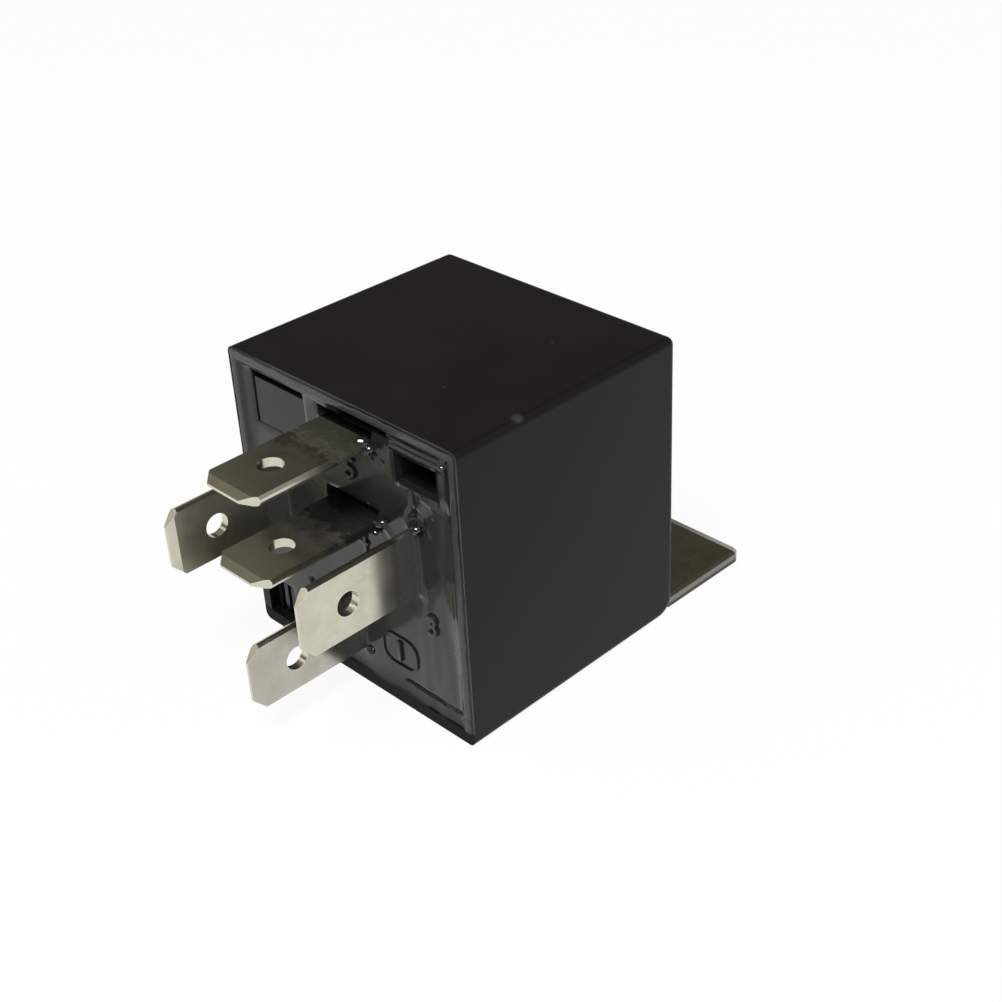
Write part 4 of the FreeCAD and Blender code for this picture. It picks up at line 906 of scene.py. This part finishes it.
floorLook = {"colour": (0.9, 0.9, 0.9), "size": 6.0, "drop": 0.00002, "glow": 0.88, "strength": 1.05}
lamps = [  # place, size, power and colour
    ("keyLamp", (0.25, -0.4, 0.8), 0.28, 4.5, (1, 1, 1)),
    ("sideLamp", (0.85, -0.35, 0.4), 0.6, 1.0, (0.94, 0.97, 1)),
    ("backLamp", (0.65, 0.5, 0.67), 0.7, 0.9, (1, 0.98, 0.95)),
    ("leftLamp", (-0.66, 0.08, 0.83), 0.8, 0.42, (1, 0.92, 0.78)),
    ("frontLamp", (-0.62, -0.55, 0.6), 0.4, 0.52, (1, 0.99, 0.94)),
]
lampAim = Vector((0, 0, 0.012))
roomLook = {"horizon": (0.6, 0.6, 0.6), "sky": (0.041, 0.041, 0.036), "rise": (0.02, 0.32),
            "backdrop": (1.0, 1.0, 1.0)}


# a pale floor that looks white to the camera and in the metal, and keeps the shadow
def makeFloor(values):
    deselectAll()
    bpy.ops.mesh.primitive_plane_add(size=values["size"], location=(0, 0, -values["drop"]))
    floor = bpy.context.active_object
    floor.name = "floor"
    material, tree, surface, place = startMaterial("paleFloor", {"Roughness": 0.9, "IOR": 1.0})
    cloud = placeGroup(tree, mottle, place, {"Scale": 30.0, "Low": 0.2, "High": 0.8})
    tone = values["colour"]
    colour = blendColours(tree, cloud, tone, tuple(channel * 0.995 for channel in tone))
    tree.links.new(colour, surface.inputs["Base Color"])
    glow = addNode(tree, "ShaderNodeEmission", {"Color": (1, 1, 1, 1), "Strength": values["strength"]})
    path = addNode(tree, "ShaderNodeLightPath")
    share = addNode(tree, "ShaderNodeMath", {1: values["glow"]}, operation="MULTIPLY")
    mix = addNode(tree, "ShaderNodeMixShader")
    seen = combine(tree, "MAXIMUM", path.outputs["Is Camera Ray"], path.outputs["Is Glossy Ray"])
    seen = combine(tree, "MAXIMUM", seen, path.outputs["Is Transmission Ray"])
    tree.links.new(seen, share.inputs[0])
    tree.links.new(share.outputs[0], mix.inputs[0])
    tree.links.new(surface.outputs[0], mix.inputs[1])
    tree.links.new(glow.outputs[0], mix.inputs[2])
    tree.links.new(mix.outputs[0], tree.nodes["Material Output"].inputs["Surface"])
    floor.data.materials.append(material)


def addLamps(values):
    for label, place, size, power, colour in values:
        bpy.ops.object.light_add(type="AREA", location=place)
        lamp = bpy.context.active_object
        lamp.name = label
        lamp.data.size = size
        lamp.data.energy = power
        lamp.data.color = colour
        lamp.rotation_euler = (lampAim - Vector(place)).to_track_quat("-Z", "Y").to_euler()


# a dim room for the reflections, and a white backdrop for the camera
def makeRoom(values):
    world = bpy.data.worlds.new("softRoom")
    bpy.context.scene.world = world
    world.use_nodes = True
    tree = world.node_tree
    way = addNode(tree, "ShaderNodeTexCoord")
    split = addNode(tree, "ShaderNodeSeparateXYZ")
    low, high = values["rise"]
    ramp = addNode(tree, "ShaderNodeMapRange", {"From Min": low, "From Max": high},
                   interpolation_type="SMOOTHSTEP")
    tree.links.new(way.outputs["Generated"], split.inputs[0])
    tree.links.new(split.outputs["Z"], ramp.inputs["Value"])
    colour = blendColours(tree, ramp.outputs["Result"], values["horizon"], values["sky"])
    straight = addNode(tree, "ShaderNodeLightPath").outputs["Is Camera Ray"]
    colour = blendColours(tree, straight, colour, values["backdrop"])
    tree.links.new(colour, tree.nodes["Background"].inputs["Color"])
    tree.nodes["Background"].inputs["Strength"].default_value = 1.0
    bpy.context.scene.view_settings.view_transform = "Standard"


makeFloor(floorLook)
addLamps(lamps)
makeRoom(roomLook)
print("stage set")
